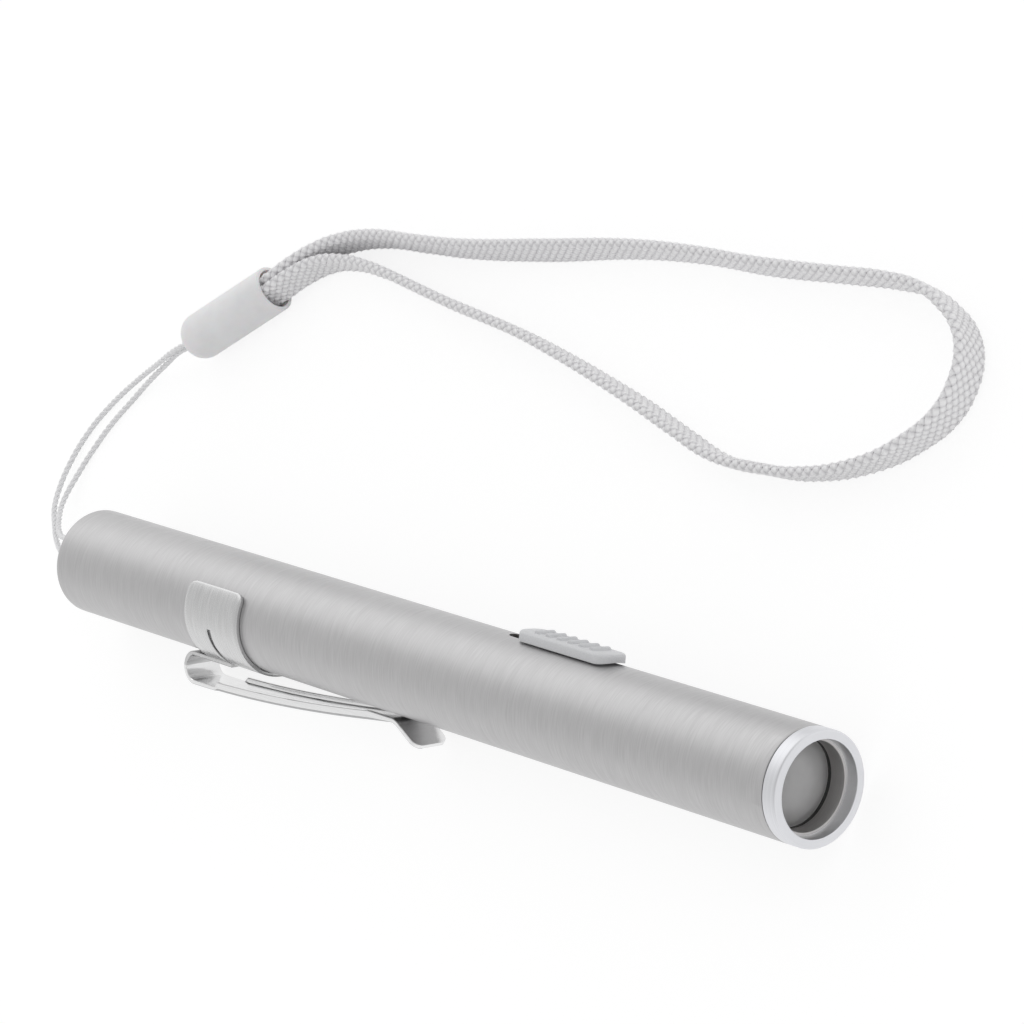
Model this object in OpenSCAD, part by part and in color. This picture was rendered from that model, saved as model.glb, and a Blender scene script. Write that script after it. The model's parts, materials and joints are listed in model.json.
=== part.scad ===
/* [Barrel] */
// Outside diameter of the tube
body_d = 13; // [13:0.1:16]
// Wall of the drawn tube
tube_wall = 0.5; // [0.35:0.05:0.5]
// Thickness of the closed tail
tail_wall = 1; // [0.6:0.1:1.5]
// Radius of the tail's outer edge
tail_round = 0.7; // [0.3:0.1:1.5]
// Diameter of each lanyard hole in the tail
lanyard_hole_d = 1.6; // [1.2:0.1:2]
// Distance between the two lanyard holes
lanyard_hole_pitch = 3.2; // [2.8:0.1:4]
// Free depth behind the tail for the lanyard
lanyard_room = 3; // [2.5:0.1:3.5]

/* [Bezel and lens] */
// Exposed length of the bezel ring
bezel_len = 2.1; // [1.5:0.1:4]
// Diameter of the bezel's front recess
bezel_bore_d = 10.6; // [9.8:0.1:11]
// Depth of the front recess
bezel_bore_depth = 1.6; // [1:0.1:2.6]
// Length of the lip that holds the lens
bezel_lip_len = 2.1; // [0.8:0.1:2.4]
// Opening through the lip
bezel_lip_d = 10; // [9:0.1:10]
// Length of the threaded skirt inside the tube
bezel_skirt_len = 6; // [4:0.1:6.5]
// Radius of the bezel's outer front edge
bezel_round = 0.3; // [0.1:0.05:0.5]
// Thickness of the lens gasket
gasket_t = 0.5; // [0.3:0.1:0.8]
// Thickness of the lens flange
lens_flange_t = 1.2; // [0.8:0.1:1.6]
// Height of the lens dome above its flange
lens_dome_h = 1.4; // [0.8:0.1:1.7]

/* [Light module] */
// Length of the reflector
reflector_len = 7.5; // [7:0.1:9]
// Opening of the reflector round the emitter
reflector_throat_d = 5.4; // [5.2:0.1:6]
// Wall of the reflector at its front edge
reflector_rim = 0.5; // [0.3:0.1:0.8]
// Side of the emitter's square base
emitter_side = 3.5; // [3:0.1:3.6]
// Thickness of the emitter's base
emitter_t = 0.7; // [0.5:0.1:1]
// Diameter of the emitter's dome
emitter_dome_d = 2.8; // [2:0.1:2.9]
// Thickness of the emitter's board
led_board_t = 1; // [0.8:0.1:1.6]
// Length of the metal holder
holder_len = 7.5; // [6:0.1:8.5]
// Thickness of the driver board
driver_board_t = 1; // [0.6:0.1:1.2]
// Diameter of the leads between the boards
lead_d = 0.8; // [0.5:0.1:1]
// Length of the insulator between the front cell's contact and the metal holder
contact_holder_len = 7.5; // [5.5:0.1:24]
// Length of the contact ring
contact_ring_len = 2.6; // [2:0.1:3]
// Thickness of the centre contact's head
contact_head_t = 1; // [0.6:0.1:1.2]

/* [Cells] */
// Diameter of a cell
cell_d = 10.5; // [10.3:0.05:10.5]
// Length of a cell with its button
cell_len = 44.5; // [43.5:0.1:44.5]
// Diameter of the cell's button
cell_button_d = 3.8; // [3:0.1:4]
// Height of the cell's button
cell_button_h = 0.9; // [0.7:0.1:1.2]
// Wall of the insulating sleeve
sleeve_wall = 0.15; // [0.1:0.05:0.15]
// Compressed length of the tail spring
spring_len = 7.5; // [6:0.1:9]
// Outside diameter of the tail spring
spring_d = 8; // [7.5:0.1:9]
// Wire of the tail spring
spring_wire = 0.7; // [0.5:0.1:0.8]
// Turns of the tail spring
spring_turns = 6; // [4:1:7]
// Length of the tail plug
plug_len = 3.5; // [2.5:0.1:4]

/* [Slide switch] */
// Distance from the front of the bezel to the slide's middle, at rest
slider_from_head = 41.8; // [39.5:0.1:44.5]
// Length of the slide
slider_len = 15.5; // [14:0.1:18]
// Width of the slide
slider_w = 4.2; // [3.8:0.1:5]
// Height of the slide's cap over the tube
slider_h = 1.15; // [1:0.05:2]
// Gap between the tube and the hollowed underside of the slide's cap
slider_lift = 0.25; // [0.2:0.05:0.4]
// Corner radius of the slide in plan
slider_corner = 1.6; // [0.8:0.1:1.8]
// Rounding of the slide's top edge
slider_edge = 0.4; // [0.2:0.05:0.6]
// Angle of the slide round the tube, from the side opposite to the clip
slider_turn = -6; // [-10:0.5:10]
// Travel of the slide
slider_travel = 4.5; // [3:0.1:5]
// Number of cross ribs on the slide
rib_count = 6; // [4:1:7]
// Spacing of the cross ribs
rib_pitch = 1.9; // [1.5:0.1:1.9]
// Height of the cross ribs
rib_h = 0.35; // [0.15:0.05:0.4]
// Width of the slot in the tube
slot_w = 2; // [1.8:0.1:2.4]
// Thickness of the brass contact strip
strip_t = 0.3; // [0.2:0.05:0.35]
// Width of the brass contact strip
strip_w = 5; // [4:0.1:6]

/* [Pocket clip] */
// Distance from the tail to the band's rear edge
clip_from_tail = 28.3; // [20:0.1:32]
// Length of the band along the tube
band_len = 10.5; // [9:0.1:14]
// Thickness of the clip's sheet
sheet_t = 0.5; // [0.4:0.05:0.6]
// Half of the angle that the band wraps
band_half_angle = 122; // [100:1:125]
// Corner radius of the band's wings
wing_corner = 1.2; // [0.6:0.1:2]
// Half of the angle that the relief slit runs
slit_half_angle = 77; // [60:1:85]
// Width of the relief slit
slit_w = 0.7; // [0.4:0.1:1]
// Length of the strip behind the slit
slit_from_rear = 4.3; // [4:0.1:6]
// Width of the arm
clip_w = 5; // [4:0.1:6]
// Distance from the band's rear edge back to the middle of the hairpin
hairpin_back = 4.1; // [2.5:0.1:5]
// Radius of the hairpin at the middle of the sheet
hairpin_r = 1.8; // [1.5:0.1:2.2]
// Length of the arm from the hairpin to where it meets the tube
arm_len = 39.3; // [34:0.1:44]
// Height of the arm's turned-up edges over its face
flange_h = 0.6; // [0.4:0.05:0.8]
// Distance from the hairpin to the start of the turned-up edges
flange_from_hairpin = 3.8; // [3:0.1:8]
// Gap between the arm and the tube where they meet
arm_gap = 0.1; // [0.05:0.01:0.3]
// Length of the flared lip along the tube
lip_len = 4.2; // [2.5:0.1:5]
// Rise of the flared lip
lip_rise = 2.45; // [1.5:0.05:2.5]
// Corner radius of the lip's end
lip_corner = 1.1; // [0.5:0.1:2]

/* [Lanyard] */
// Diameter of the thin cord
string_d = 0.75; // [0.5:0.05:0.75]
// Width of the strap
strap_w = 4.5; // [4:0.1:4.5]
// Thickness of the strap
strap_t = 1.2; // [1:0.05:1.2]
// Length of the ferrule
ferrule_len = 15.6; // [15:0.1:18]
// Diameter of the ferrule
ferrule_d = 6; // [6:0.1:7]
// Depth of the ferrule's socket
ferrule_socket = 12; // [11:0.1:13]
// Rounding of the ferrule's closed end
ferrule_nose = 2.4; // [1.5:0.1:2.6]

/* [Hidden] */
$fn = 64;

// Overrun of a cut past the faces that it opens
over = 0.5;
// Clearance of a pressed or seated piece
seat_gap = 0.02;
// Clearance of a piece that slips or turns in another
slip_gap = 0.1;
// Clearance of the thread, drawn as plain cylinders
thread_gap = 0.05;
// Clearance of the sliding strip over what it passes
wipe_gap = 0.15;

body_r = body_d / 2;
bore_r = body_r - tube_wall;

// Overall length: the lanyard's room, the cells, the light module and the bezel, end to end
tail_part_len = tail_wall + lanyard_room + plug_len + spring_len;
module_len = contact_head_t + contact_holder_len + holder_len + reflector_len + slip_gap;
bezel_part_len = lens_flange_t + gasket_t + bezel_lip_len + bezel_bore_depth;
body_len = tail_part_len + 2 * cell_len + module_len + bezel_part_len;
tail_x = -body_len / 2;
head_x = body_len / 2;
seam_x = head_x - bezel_len;

// Stack from the tail forwards
plug_x = tail_x + tail_wall + lanyard_room;
spring_x = plug_x + plug_len;
cells_x = spring_x + spring_len;
contact_x = cells_x + 2 * cell_len;

// Stack from the head backwards
lip_front_x = head_x - bezel_bore_depth;
lip_back_x = lip_front_x - bezel_lip_len;
lens_front_x = lip_back_x - gasket_t;
lens_back_x = lens_front_x - lens_flange_t;
reflector_front_x = lens_back_x - slip_gap;
led_board_x = reflector_front_x - reflector_len;
holder_x = led_board_x - holder_len;
lens_r = bezel_bore_d / 2 - slip_gap;
lip_r = bezel_lip_d / 2;
dome_r = lip_r - slip_gap;
// Radius of the sphere that gives the dome its height
dome_ball_r = (dome_r * dome_r + lens_dome_h * lens_dome_h) / (2 * lens_dome_h);
reflector_mouth_r = lens_r - reflector_rim;
reflector_steps = 10;
led_board_r = lens_r - 2 * slip_gap;
driver_board_r = lens_r;
driver_recess = driver_board_t + 2 * slip_gap;
driver_x = holder_x + driver_recess - driver_board_t;
chip_size = [0.5, 1.6, 0.8];
chip_offset_share = 0.45;
lead_offset_share = 0.5;
lead_hole_gap = 0.1;
contact_holder_x = contact_x + contact_head_t;
contact_ring_margin = 0.7;
contact_ring_x = contact_holder_x + contact_ring_margin;
contact_ring_depth = 0.4;
contact_ring_proud = 0.05;
strip_r = bore_r - slip_gap;
contact_ring_r = strip_r - strip_t - wipe_gap;
contact_holder_r = contact_ring_r - contact_ring_proud;
chip_room = 2 * chip_size[0];
chip_room_r = contact_holder_r - 2 * contact_ring_depth;
contact_head_r = cell_button_d / 2 + slip_gap;
contact_stem_share = 0.45;
contact_stem_r = contact_head_r * contact_stem_share;
cell_r = cell_d / 2;
cell_edge = 0.4;
sleeve_r = cell_r + thread_gap;
spring_mid_r = (spring_d - spring_wire) / 2;
spring_start_x = spring_x + spring_wire / 2 + seat_gap;
spring_pitch = (spring_len - spring_wire - 2 * seat_gap) / spring_turns;
spring_rings = 8;
spring_sides = 6;
// The spring is drawn in straight lengths, which come in closer than its round inside
spring_inner_r = (spring_d / 2 - spring_wire) * cos(180 / spring_rings);
plug_spigot_r = spring_inner_r - slip_gap;
plug_spigot_share = 0.5;

// Slide and its slot, in the frame turned to the slide
slider_x = head_x - slider_from_head;
cap_seat_r = body_r + slider_lift;
cap_top = body_r + slider_h;
// Start of the cap's block, below the edges that the hollow leaves on its long sides
cap_low = sqrt(pow(cap_seat_r, 2) - pow(slider_w / 2, 2)) - slip_gap;
rib_r = rib_pitch / 4;
rib_half = slider_w / 2 - slider_edge - slider_edge;
neck_w = slot_w - 4 * slip_gap;
neck_half = slider_len / 2 - slider_corner - slider_edge;
neck_bottom = strip_r + seat_gap;
slot_front_x = slider_x + neck_half + slip_gap;
slot_rear_x = slider_x - neck_half - slider_travel - slip_gap;
post_d = neck_w - 4 * slip_gap;
post_offset_share = 0.8;
post_x = neck_half * post_offset_share;
strip_rear_x = slider_x - slider_len / 2;
strip_front_x = contact_ring_x + contact_ring_len - slip_gap;

// Clip, in the frame turned to the clip
band_r = body_r + seat_gap;
band_x = tail_x + clip_from_tail;
slit_x = band_x + slit_from_rear;
// Small edge left where a wing's rounded corner meets its straight sides
wing_corner_break = 0.05;
band_mid_r = band_r + sheet_t / 2;
hairpin_x = band_x - hairpin_back;
hairpin_y = band_mid_r + hairpin_r;
hairpin_out = hairpin_r + sheet_t / 2;
hairpin_in = hairpin_r - sheet_t / 2;
arm_bend_r = hairpin_y + hairpin_r;
arm_contact_r = body_r + arm_gap + sheet_t / 2;
arm_out = arm_bend_r + sheet_t / 2;
arm_steps = 16;
arm_sweep_power = 1.75;
lip_steps = 3;

// The tube lies on the table with one edge of the clip's arm touching it
roll = asin(body_r / norm([arm_out, clip_w / 2])) - atan(clip_w / 2 / arm_out);
// Place of the tube's axis beside the middle of the frame
axis_y = 1.234;

// Ferrule, lying on the table
ferrule_tip = [-68.1, 31, ferrule_d / 2];
ferrule_angle = 36.5;
socket_gap = 0.1;
// Bevel of the strap's edges, as a share of its thickness
strap_bevel_share = 0.3;
// Round socket that just takes the two layers of strap, side by side
socket_r = norm([strap_t * (1 - strap_bevel_share) + socket_gap, strap_w / 2]) + socket_gap;
string_hole_r = string_d + 2 * socket_gap;

// Route of the thin cord: from the ferrule to the tail, through its two holes, and back
string_route = [
  [-65.7, 32.8, 3.42], [-68.1, 31, 3.42], [-70.7, 29.5, 3.2], [-74.2, 27.6, 2.2], [-79, 24.9, 0.9],
  [-82.9, 21.4, 0.4], [-85.6, 17.3, 0.4], [-87, 12.7, 0.6], [-87, 9.3, 0.9], [-85.9, 6.6, 1.5],
  [-83.4, 4.1, 2.3], [-79.6, 1.8, 3.6], [-75, 0.4, 5], [-71, -0.1, 5.7], [-67.5, -0.2, 5.9],
  [-65.5, -0.2, 5.9], [-64.4, 0.1, 6], [-63.9, 1.3, 6.5], [-64.4, 2.4, 7], [-65.5, 2.7, 7.1],
  [-67.5, 2.7, 7.1], [-71, 2.7, 6.9], [-75, 2.7, 6], [-78.8, 3.1, 4.4], [-82.3, 5.1, 2.8],
  [-84.4, 7.6, 1.5], [-84.6, 11, 0.7], [-83.6, 14.8, 0.4], [-81.8, 18.5, 0.4], [-79.3, 22.2, 0.4],
  [-76.5, 25.4, 0.8], [-73.7, 27.65, 1.45], [-70.8, 29.5, 2.33], [-68.1, 31, 2.58], [-65.7, 32.8, 2.58]
];

// Route of the strap's middle: out of the ferrule, round the loop on its edge, and back
strap_route = [
  [-61.25, 36.88, 3], [-55.96, 40.82, 3], [-53, 43.6, 2.8], [-50, 46, 2.45], [-46, 47.9, 2.3],
  [-40, 49.3, 2.3], [-32, 49.8, 2.3], [-24, 50.3, 2.3], [-10, 52.1, 2.3], [5, 54.4, 2.3],
  [16, 55.3, 2.3], [27, 55.5, 2.3], [39.5, 56.3, 2.3], [47.5, 56.8, 2.3], [52.5, 56.6, 2.3],
  [56.6, 55.3, 2.3], [60.3, 53.1, 2.3], [62.2, 50.4, 2.3], [62.7, 47.2, 2.3], [61.8, 43.7, 2.3],
  [58.5, 40, 2.3], [53, 36.5, 2.3], [44, 33.75, 2.3], [37.7, 33.25, 2.3], [30.8, 33.2, 2.3],
  [23, 35, 2.3], [15, 37.1, 2.3], [6.5, 39, 2.3], [-1, 40.5, 2.3], [-8.6, 41.8, 2.3],
  [-16, 42.7, 2.3], [-23.3, 43.5, 2.3], [-30.6, 44.5, 2.3], [-38.3, 45.5, 2.3], [-44, 45.6, 2.3],
  [-48.7, 44.6, 2.4], [-52.1, 42.4, 2.8], [-55.16, 39.74, 3], [-60.48, 35.83, 3]
];

// Lean of the strap's upper edge, outwards from its loop, at each point of its route
strap_leans = [
  0, 0, 0, 0, 2, 4, 4.5, 6, 10.5, 5, 2.5, 3.5, 0.5, 1, 0, 0, -2, -3, -3, 0,
  4, 8, 8, 9, 5, 5, 5.5, 3, 1.5, 0, 0, -1, -1.5, -1, 0, 0, 0, 0, 0
];

// Places the pen's axis over the table
module on_pen() { translate([0, axis_y, body_r]) children(); }

// Turns local -Y to the clip
module turned() { on_pen() rotate([roll, 0, 0]) children(); }

// Turns local +Y to the slide
module slide_side() { turned() rotate([slider_turn, 0, 0]) children(); }

// A rod along the pen's axis
module rod(from, to, r) { translate([from, 0, 0]) rotate([0, 90, 0]) cylinder(r = r, h = to - from); }

// A tube along the pen's axis
module ring(from, to, outer_r, inner_r) {
  difference() {
    rod(from, to, outer_r);
    rod(from - over, to + over, inner_r);
  }
}

// A cone along the pen's axis
module cone(from, to, r_from, r_to) {
  translate([from, 0, 0]) rotate([0, 90, 0]) cylinder(r1 = r_from, r2 = r_to, h = to - from);
}

// A flat bar with round ends, along X, standing up from a height along Y
module bar(from, to, w, low, high) {
  translate([0, high, 0]) rotate([90, 0, 0]) linear_extrude(high - low) {
    translate([from + w / 2, -w / 2]) square([to - from - w, w]);
    for (end = [from + w / 2, to - w / 2]) translate([end, 0]) circle(w / 2);
  }
}

// Stainless tube, closed at the tail
module barrel() {
  tube_len = seam_x - tail_x;
  color("silver") turned() difference() {
    translate([tail_x, 0, 0]) rotate([0, 90, 0]) rotate_extrude() {
      square([body_r - tail_round, tube_len]);
      translate([0, tail_round]) square([body_r, tube_len - tail_round]);
      translate([body_r - tail_round, tail_round]) circle(tail_round);
    }
    rod(tail_x + tail_wall, seam_x + over, bore_r);
    for (side = [-1, 1]) translate([0, side * lanyard_hole_pitch / 2, 0])
      rod(tail_x - over, tail_x + tail_wall + over, lanyard_hole_d / 2);
    rotate([slider_turn, 0, 0]) bar(slot_rear_x, slot_front_x, slot_w, bore_r - over, body_r + over);
  }
}

// Satin metal ring with the lens pocket and a screwed skirt
module bezel() {
  color("gainsboro") on_pen() difference() {
    union() {
      translate([seam_x, 0, 0]) rotate([0, 90, 0]) rotate_extrude() {
        square([body_r, bezel_len - bezel_round]);
        square([body_r - bezel_round, bezel_len]);
        translate([body_r - bezel_round, bezel_len - bezel_round]) circle(bezel_round);
      }
      rod(seam_x - bezel_skirt_len, seam_x + over, bore_r - thread_gap);
    }
    rod(lip_front_x, head_x + over, bezel_bore_d / 2);
    rod(lip_back_x - over, head_x, lip_r);
    rod(seam_x - bezel_skirt_len - over, lip_back_x, bezel_bore_d / 2);
  }
}

// Convex lens with a flat back and a flange
module lens() {
  color("lightgray", 0.6) on_pen() translate([lens_back_x, 0, 0]) rotate([0, 90, 0]) rotate_extrude() {
    square([lens_r, lens_flange_t]);
    intersection() {
      translate([0, lens_flange_t + lens_dome_h - dome_ball_r]) circle(dome_ball_r);
      square([lens_r, lens_flange_t + lens_dome_h]);
    }
  }
}

// Flat rubber ring in front of the lens flange
module lens_gasket() {
  color("black") on_pen() ring(lens_front_x, lip_back_x, lens_r, lip_r);
}

// Radius of the reflector's mirror at a share of its depth, a parabola
function mirror_r(share) =
  sqrt(pow(reflector_throat_d / 2, 2) * (1 - share) + pow(reflector_mouth_r, 2) * share);

// Cup with a parabolic mirror
module reflector() {
  color("whitesmoke") on_pen() translate([led_board_x, 0, 0]) rotate([0, 90, 0]) rotate_extrude()
    polygon(concat(
      [[lens_r, reflector_len], [lens_r, 0]],
      [for (i = [0 : reflector_steps]) let (share = i / reflector_steps)
        [mirror_r(share), reflector_len * share]]
    ));
}

// Square base with a clear dome
module led_emitter() {
  color("khaki") on_pen() {
    translate([led_board_x, -emitter_side / 2, -emitter_side / 2])
      cube([emitter_t, emitter_side, emitter_side]);
    translate([led_board_x + emitter_t, 0, 0]) rotate([0, 90, 0]) rotate_extrude() intersection() {
      circle(emitter_dome_d / 2);
      translate([0, -emitter_t / 2]) square(emitter_dome_d);
    }
  }
}

// Round metal-core board, let into the front of the holder
module led_board() {
  color("white") on_pen() rod(led_board_x - led_board_t, led_board_x, led_board_r);
}

// Places the two leads and their holes on both sides of the axis
module lead_rods(from, to, r) {
  for (side = [-1, 1]) translate([0, side * led_board_r * lead_offset_share, 0]) rod(from, to, r);
}

// Turned metal holder with a seat for each board
module led_holder() {
  color("darkgray") on_pen() difference() {
    rod(holder_x, led_board_x, bore_r - slip_gap);
    rod(led_board_x - led_board_t, led_board_x + over, led_board_r + thread_gap);
    rod(holder_x - over, holder_x + driver_recess, driver_board_r + thread_gap);
    lead_rods(holder_x, led_board_x, lead_d / 2 + lead_hole_gap);
  }
}

// Two leads from the driver board to the emitter's board
module led_leads() {
  color("firebrick") on_pen()
    lead_rods(driver_x + driver_board_t, led_board_x - led_board_t, lead_d / 2);
}

// Round board with its small components on the rear face
module driver_board() {
  color("darkgreen") on_pen() {
    rod(driver_x, driver_x + driver_board_t, driver_board_r);
    for (turn = [0 : 90 : 270]) rotate([turn, 0, 0])
      translate([driver_x - chip_size[0], driver_board_r * chip_offset_share, -chip_size[2] / 2])
        cube([chip_size[0] + seat_gap, chip_size[1], chip_size[2]]);
  }
}

// Plastic insulator with a groove for the contact ring
module contact_holder() {
  color("dimgray") on_pen() difference() {
    rod(contact_holder_x, holder_x, contact_holder_r);
    ring(contact_ring_x, contact_ring_x + contact_ring_len, contact_holder_r + over,
      contact_holder_r - contact_ring_depth);
    rod(contact_holder_x - over, holder_x + over, contact_stem_r + seat_gap);
    rod(holder_x - chip_room, holder_x + over, chip_room_r);
  }
}

// Brass ring in the insulator's groove
module contact_ring() {
  color("goldenrod") on_pen()
    ring(contact_ring_x, contact_ring_x + contact_ring_len, contact_ring_r,
      contact_holder_r - contact_ring_depth + seat_gap);
}

// Brass stud from the front cell to the driver board
module center_contact() {
  color("gold") on_pen() {
    rod(contact_x, contact_holder_x, contact_head_r);
    rod(contact_x, driver_x, contact_stem_r);
  }
}

// A cell with bevelled ends and its button forward
module cell(from) {
  can_end = from + cell_len - cell_button_h;
  on_pen() {
    cone(from, from + cell_edge, cell_r - cell_edge, cell_r);
    rod(from + cell_edge, can_end - cell_edge, cell_r);
    cone(can_end - cell_edge, can_end, cell_r, cell_r - cell_edge);
    rod(can_end - cell_edge, from + cell_len, cell_button_d / 2);
  }
}

module front_cell() { color("slategray") cell(cells_x + cell_len); }

module rear_cell() { color("slategray") cell(cells_x); }

// Thin insulating sleeve round both cells
module battery_sleeve() {
  color("beige") on_pen() ring(cells_x, contact_x - cell_button_h, sleeve_r + sleeve_wall, sleeve_r);
}

// A point of the spring: a distance from its axis, at a number of turns along its helix
function spring_point(turn, out, along) =
  [spring_start_x + spring_pitch * turn + along, out * cos(360 * turn), out * sin(360 * turn)];

// Points of a ring of wire round the spring's helix
function spring_ring(turn) =
  [for (k = [0 : spring_sides - 1]) let (a = 360 * k / spring_sides)
    spring_point(turn, spring_mid_r + spring_wire / 2 * cos(a), spring_wire / 2 * sin(a))];

// Faces of a closed tube made of rings of the same number of points
function tube_faces(rings, sides) = concat(
  [for (i = [0 : rings - 2]) for (k = [0 : sides - 1]) let (n = (k + 1) % sides)
    each [[i * sides + k, i * sides + n, (i + 1) * sides + n],
          [i * sides + k, (i + 1) * sides + n, (i + 1) * sides + k]]],
  [for (k = [1 : sides - 2]) [0, k + 1, k]],
  [for (k = [1 : sides - 2]) let (last = (rings - 1) * sides) [last, last + k, last + k + 1]]
);

// Coil spring between the plug and the rear cell
module tail_spring() {
  rings = spring_turns * spring_rings + 1;
  middles = [for (i = [0 : rings - 1]) spring_point(i / spring_rings, spring_mid_r, 0)];
  turn_steps = [for (i = [spring_rings : rings - 1]) norm(middles[i] - middles[i - spring_rings])];
  echo("Least gap between the turns of the tail spring", min(turn_steps) - spring_wire);
  color("lightsteelblue") on_pen() polyhedron(
    [for (i = [0 : rings - 1]) each spring_ring(i / spring_rings)],
    tube_faces(rings, spring_sides)
  );
}

// Turned plug with a spigot for the spring
module tail_plug() {
  color("darkgray") on_pen() {
    rod(plug_x, spring_x, bore_r - seat_gap);
    rod(plug_x, spring_x + spring_len * plug_spigot_share, plug_spigot_r);
  }
}

// Plastic cap hollowed to the tube, with cross ribs, a neck through the slot and two posts
module slider_button() {
  corner_x = slider_len / 2 - slider_corner;
  corner_z = slider_w / 2 - slider_corner;
  block_h = cap_top - cap_low;
  color("lightgray") slide_side() translate([slider_x, 0, 0]) {
    difference() {
      hull() for (sx = [-1, 1]) for (sz = [-1, 1])
        translate([sx * corner_x, cap_low, sz * corner_z]) rotate([-90, 0, 0]) {
          cylinder(r = slider_corner, h = block_h - slider_edge, $fn = 32);
          cylinder(r = slider_corner - slider_edge, h = block_h, $fn = 32);
        }
      rod(-slider_len, slider_len, cap_seat_r);
    }
    for (i = [0 : rib_count - 1])
      translate([(i - (rib_count - 1) / 2) * rib_pitch, cap_top + rib_h - rib_r, -rib_half])
        cylinder(r = rib_r, h = 2 * rib_half);
    bar(-neck_half, neck_half, neck_w, neck_bottom, cap_seat_r + slider_edge);
    for (side = [-1, 1]) translate([side * post_x, strip_r - strip_t, 0])
      rotate([-90, 0, 0]) cylinder(d = post_d, h = 2 * strip_t);
  }
}

// Curved brass strip under the slot
module contact_strip() {
  color("goldenrod") slide_side() difference() {
    intersection() {
      ring(strip_rear_x, strip_front_x, strip_r, strip_r - strip_t);
      translate([strip_rear_x - over, 0, -strip_w / 2])
        cube([strip_front_x - strip_rear_x + 2 * over, body_r, strip_w]);
    }
    for (side = [-1, 1]) translate([slider_x + side * post_x, 0, 0])
      rotate([-90, 0, 0]) cylinder(r = post_d / 2 + seat_gap, h = body_r);
  }
}

// A wedge of a disc along the pen's axis, centred on the clip's side
module clip_sector(from, to, half_angle, r) {
  translate([from, 0, 0]) rotate([0, 90, 0]) rotate([0, 0, -90 - half_angle])
    rotate_extrude(angle = 2 * half_angle) square([r, to - from]);
}

// Rounds one corner of a wing: side picks the wing, inward points along the tube into the band
module wing_corner_cut(side, end_x, inward) {
  corner_in = wing_corner - wing_corner_break;
  rotate([180 - side * band_half_angle, 0, 0]) translate([end_x, band_r + sheet_t + over, 0])
    mirror([inward < 0 ? 1 : 0, 0, 0]) mirror([0, 0, side < 0 ? 1 : 0])
      rotate([90, 0, 0]) linear_extrude(sheet_t + 2 * over) difference() {
        translate([-over, -over]) square([corner_in + over, corner_in + over]);
        translate([corner_in, corner_in]) circle(wing_corner);
      }
}

// Sheet-steel band with its wings, slit and the fixed leg of the hairpin
module clip_band() {
  band_end_x = band_x + band_len;
  color("gainsboro") turned() {
    difference() {
      clip_sector(band_x, band_end_x, band_half_angle, band_r + sheet_t);
      rod(band_x - over, band_end_x + over, band_r);
      clip_sector(slit_x, slit_x + slit_w, slit_half_angle, band_r + sheet_t + over);
      for (side = [-1, 1]) {
        wing_corner_cut(side, band_x, 1);
        wing_corner_cut(side, band_end_x, -1);
      }
    }
    translate([hairpin_x, -band_r - sheet_t, -clip_w / 2])
      cube([slit_x - hairpin_x - slit_w, sheet_t, clip_w]);
    hairpin(0);
  }
}

// Half of the hairpin bend: the fixed leg's quarter is 0, the arm's quarter is 1
module hairpin(half) {
  translate([hairpin_x, -hairpin_y, -clip_w / 2]) difference() {
    cylinder(r = hairpin_out, h = clip_w);
    translate([0, 0, -over]) cylinder(r = hairpin_in, h = clip_w + 2 * over);
    translate([0, -hairpin_out - over, -over])
      cube([hairpin_out + over, 2 * (hairpin_out + over), clip_w + 2 * over]);
    translate([-hairpin_out - over, half == 0 ? -hairpin_out - over : -seat_gap, -over])
      cube([hairpin_out + 2 * over, hairpin_out + over + (half == 0 ? 0 : seat_gap), clip_w + 2 * over]);
  }
}

// Middle line of the arm: an easy sweep in to the tube, then the flared lip
arm_line = concat(
  [for (i = [0 : arm_steps]) let (share = i / arm_steps)
    [hairpin_x + arm_len * share,
     -arm_bend_r + (arm_bend_r - arm_contact_r) * pow(share, arm_sweep_power)]],
  [for (i = [1 : lip_steps]) let (share = i / lip_steps)
    [hairpin_x + arm_len + lip_len * share, -arm_contact_r - lip_rise * share]]
);

// Direction across the arm's middle line at one of its points
function arm_across(i) =
  let (last = len(arm_line) - 1,
       step = arm_line[min(i + 1, last)] - arm_line[max(i - 1, 0)])
  [-step[1], step[0]] / norm(step);

// One of the arm's turned-up edges, seen from the side: it runs out where the arm nears the tube
module arm_flange() {
  from = hairpin_x + flange_from_hairpin;
  high = -body_r - 2 * arm_gap;
  intersection() {
    polygon(concat(
      [for (i = [0 : arm_steps]) arm_line[i]],
      [for (i = [arm_steps : -1 : 0]) arm_line[i] + arm_across(i) * (sheet_t / 2 + flange_h)]
    ));
    polygon([
      [from, -arm_out], [from + high + arm_out, high],
      [hairpin_x + arm_len, high], [hairpin_x + arm_len, -arm_out]
    ]);
  }
}

// Springy arm with its turned-up edges and flared lip
module clip_arm() {
  tip_x = hairpin_x + arm_len + lip_len;
  last = len(arm_line) - 1;
  color("gainsboro") turned() {
    hairpin(1);
    intersection() {
      translate([0, 0, -clip_w / 2]) linear_extrude(clip_w) polygon(concat(
        [for (i = [0 : last]) arm_line[i] + arm_across(i) * sheet_t / 2],
        [for (i = [last : -1 : 0]) arm_line[i] - arm_across(i) * sheet_t / 2]
      ));
      translate([0, -body_r, 0]) rotate([90, 0, 0]) linear_extrude(arm_out + over) {
        translate([hairpin_x - over, -clip_w / 2])
          square([tip_x - lip_corner - hairpin_x + over, clip_w]);
        translate([tip_x - 2 * lip_corner, lip_corner - clip_w / 2])
          square([2 * lip_corner, clip_w - 2 * lip_corner]);
        for (side = [-1, 1]) translate([tip_x - lip_corner, side * (clip_w / 2 - lip_corner)])
          circle(lip_corner);
      }
    }
    for (low = [-clip_w / 2, clip_w / 2 - sheet_t])
      translate([0, 0, low]) linear_extrude(sheet_t) arm_flange();
  }
}

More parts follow.
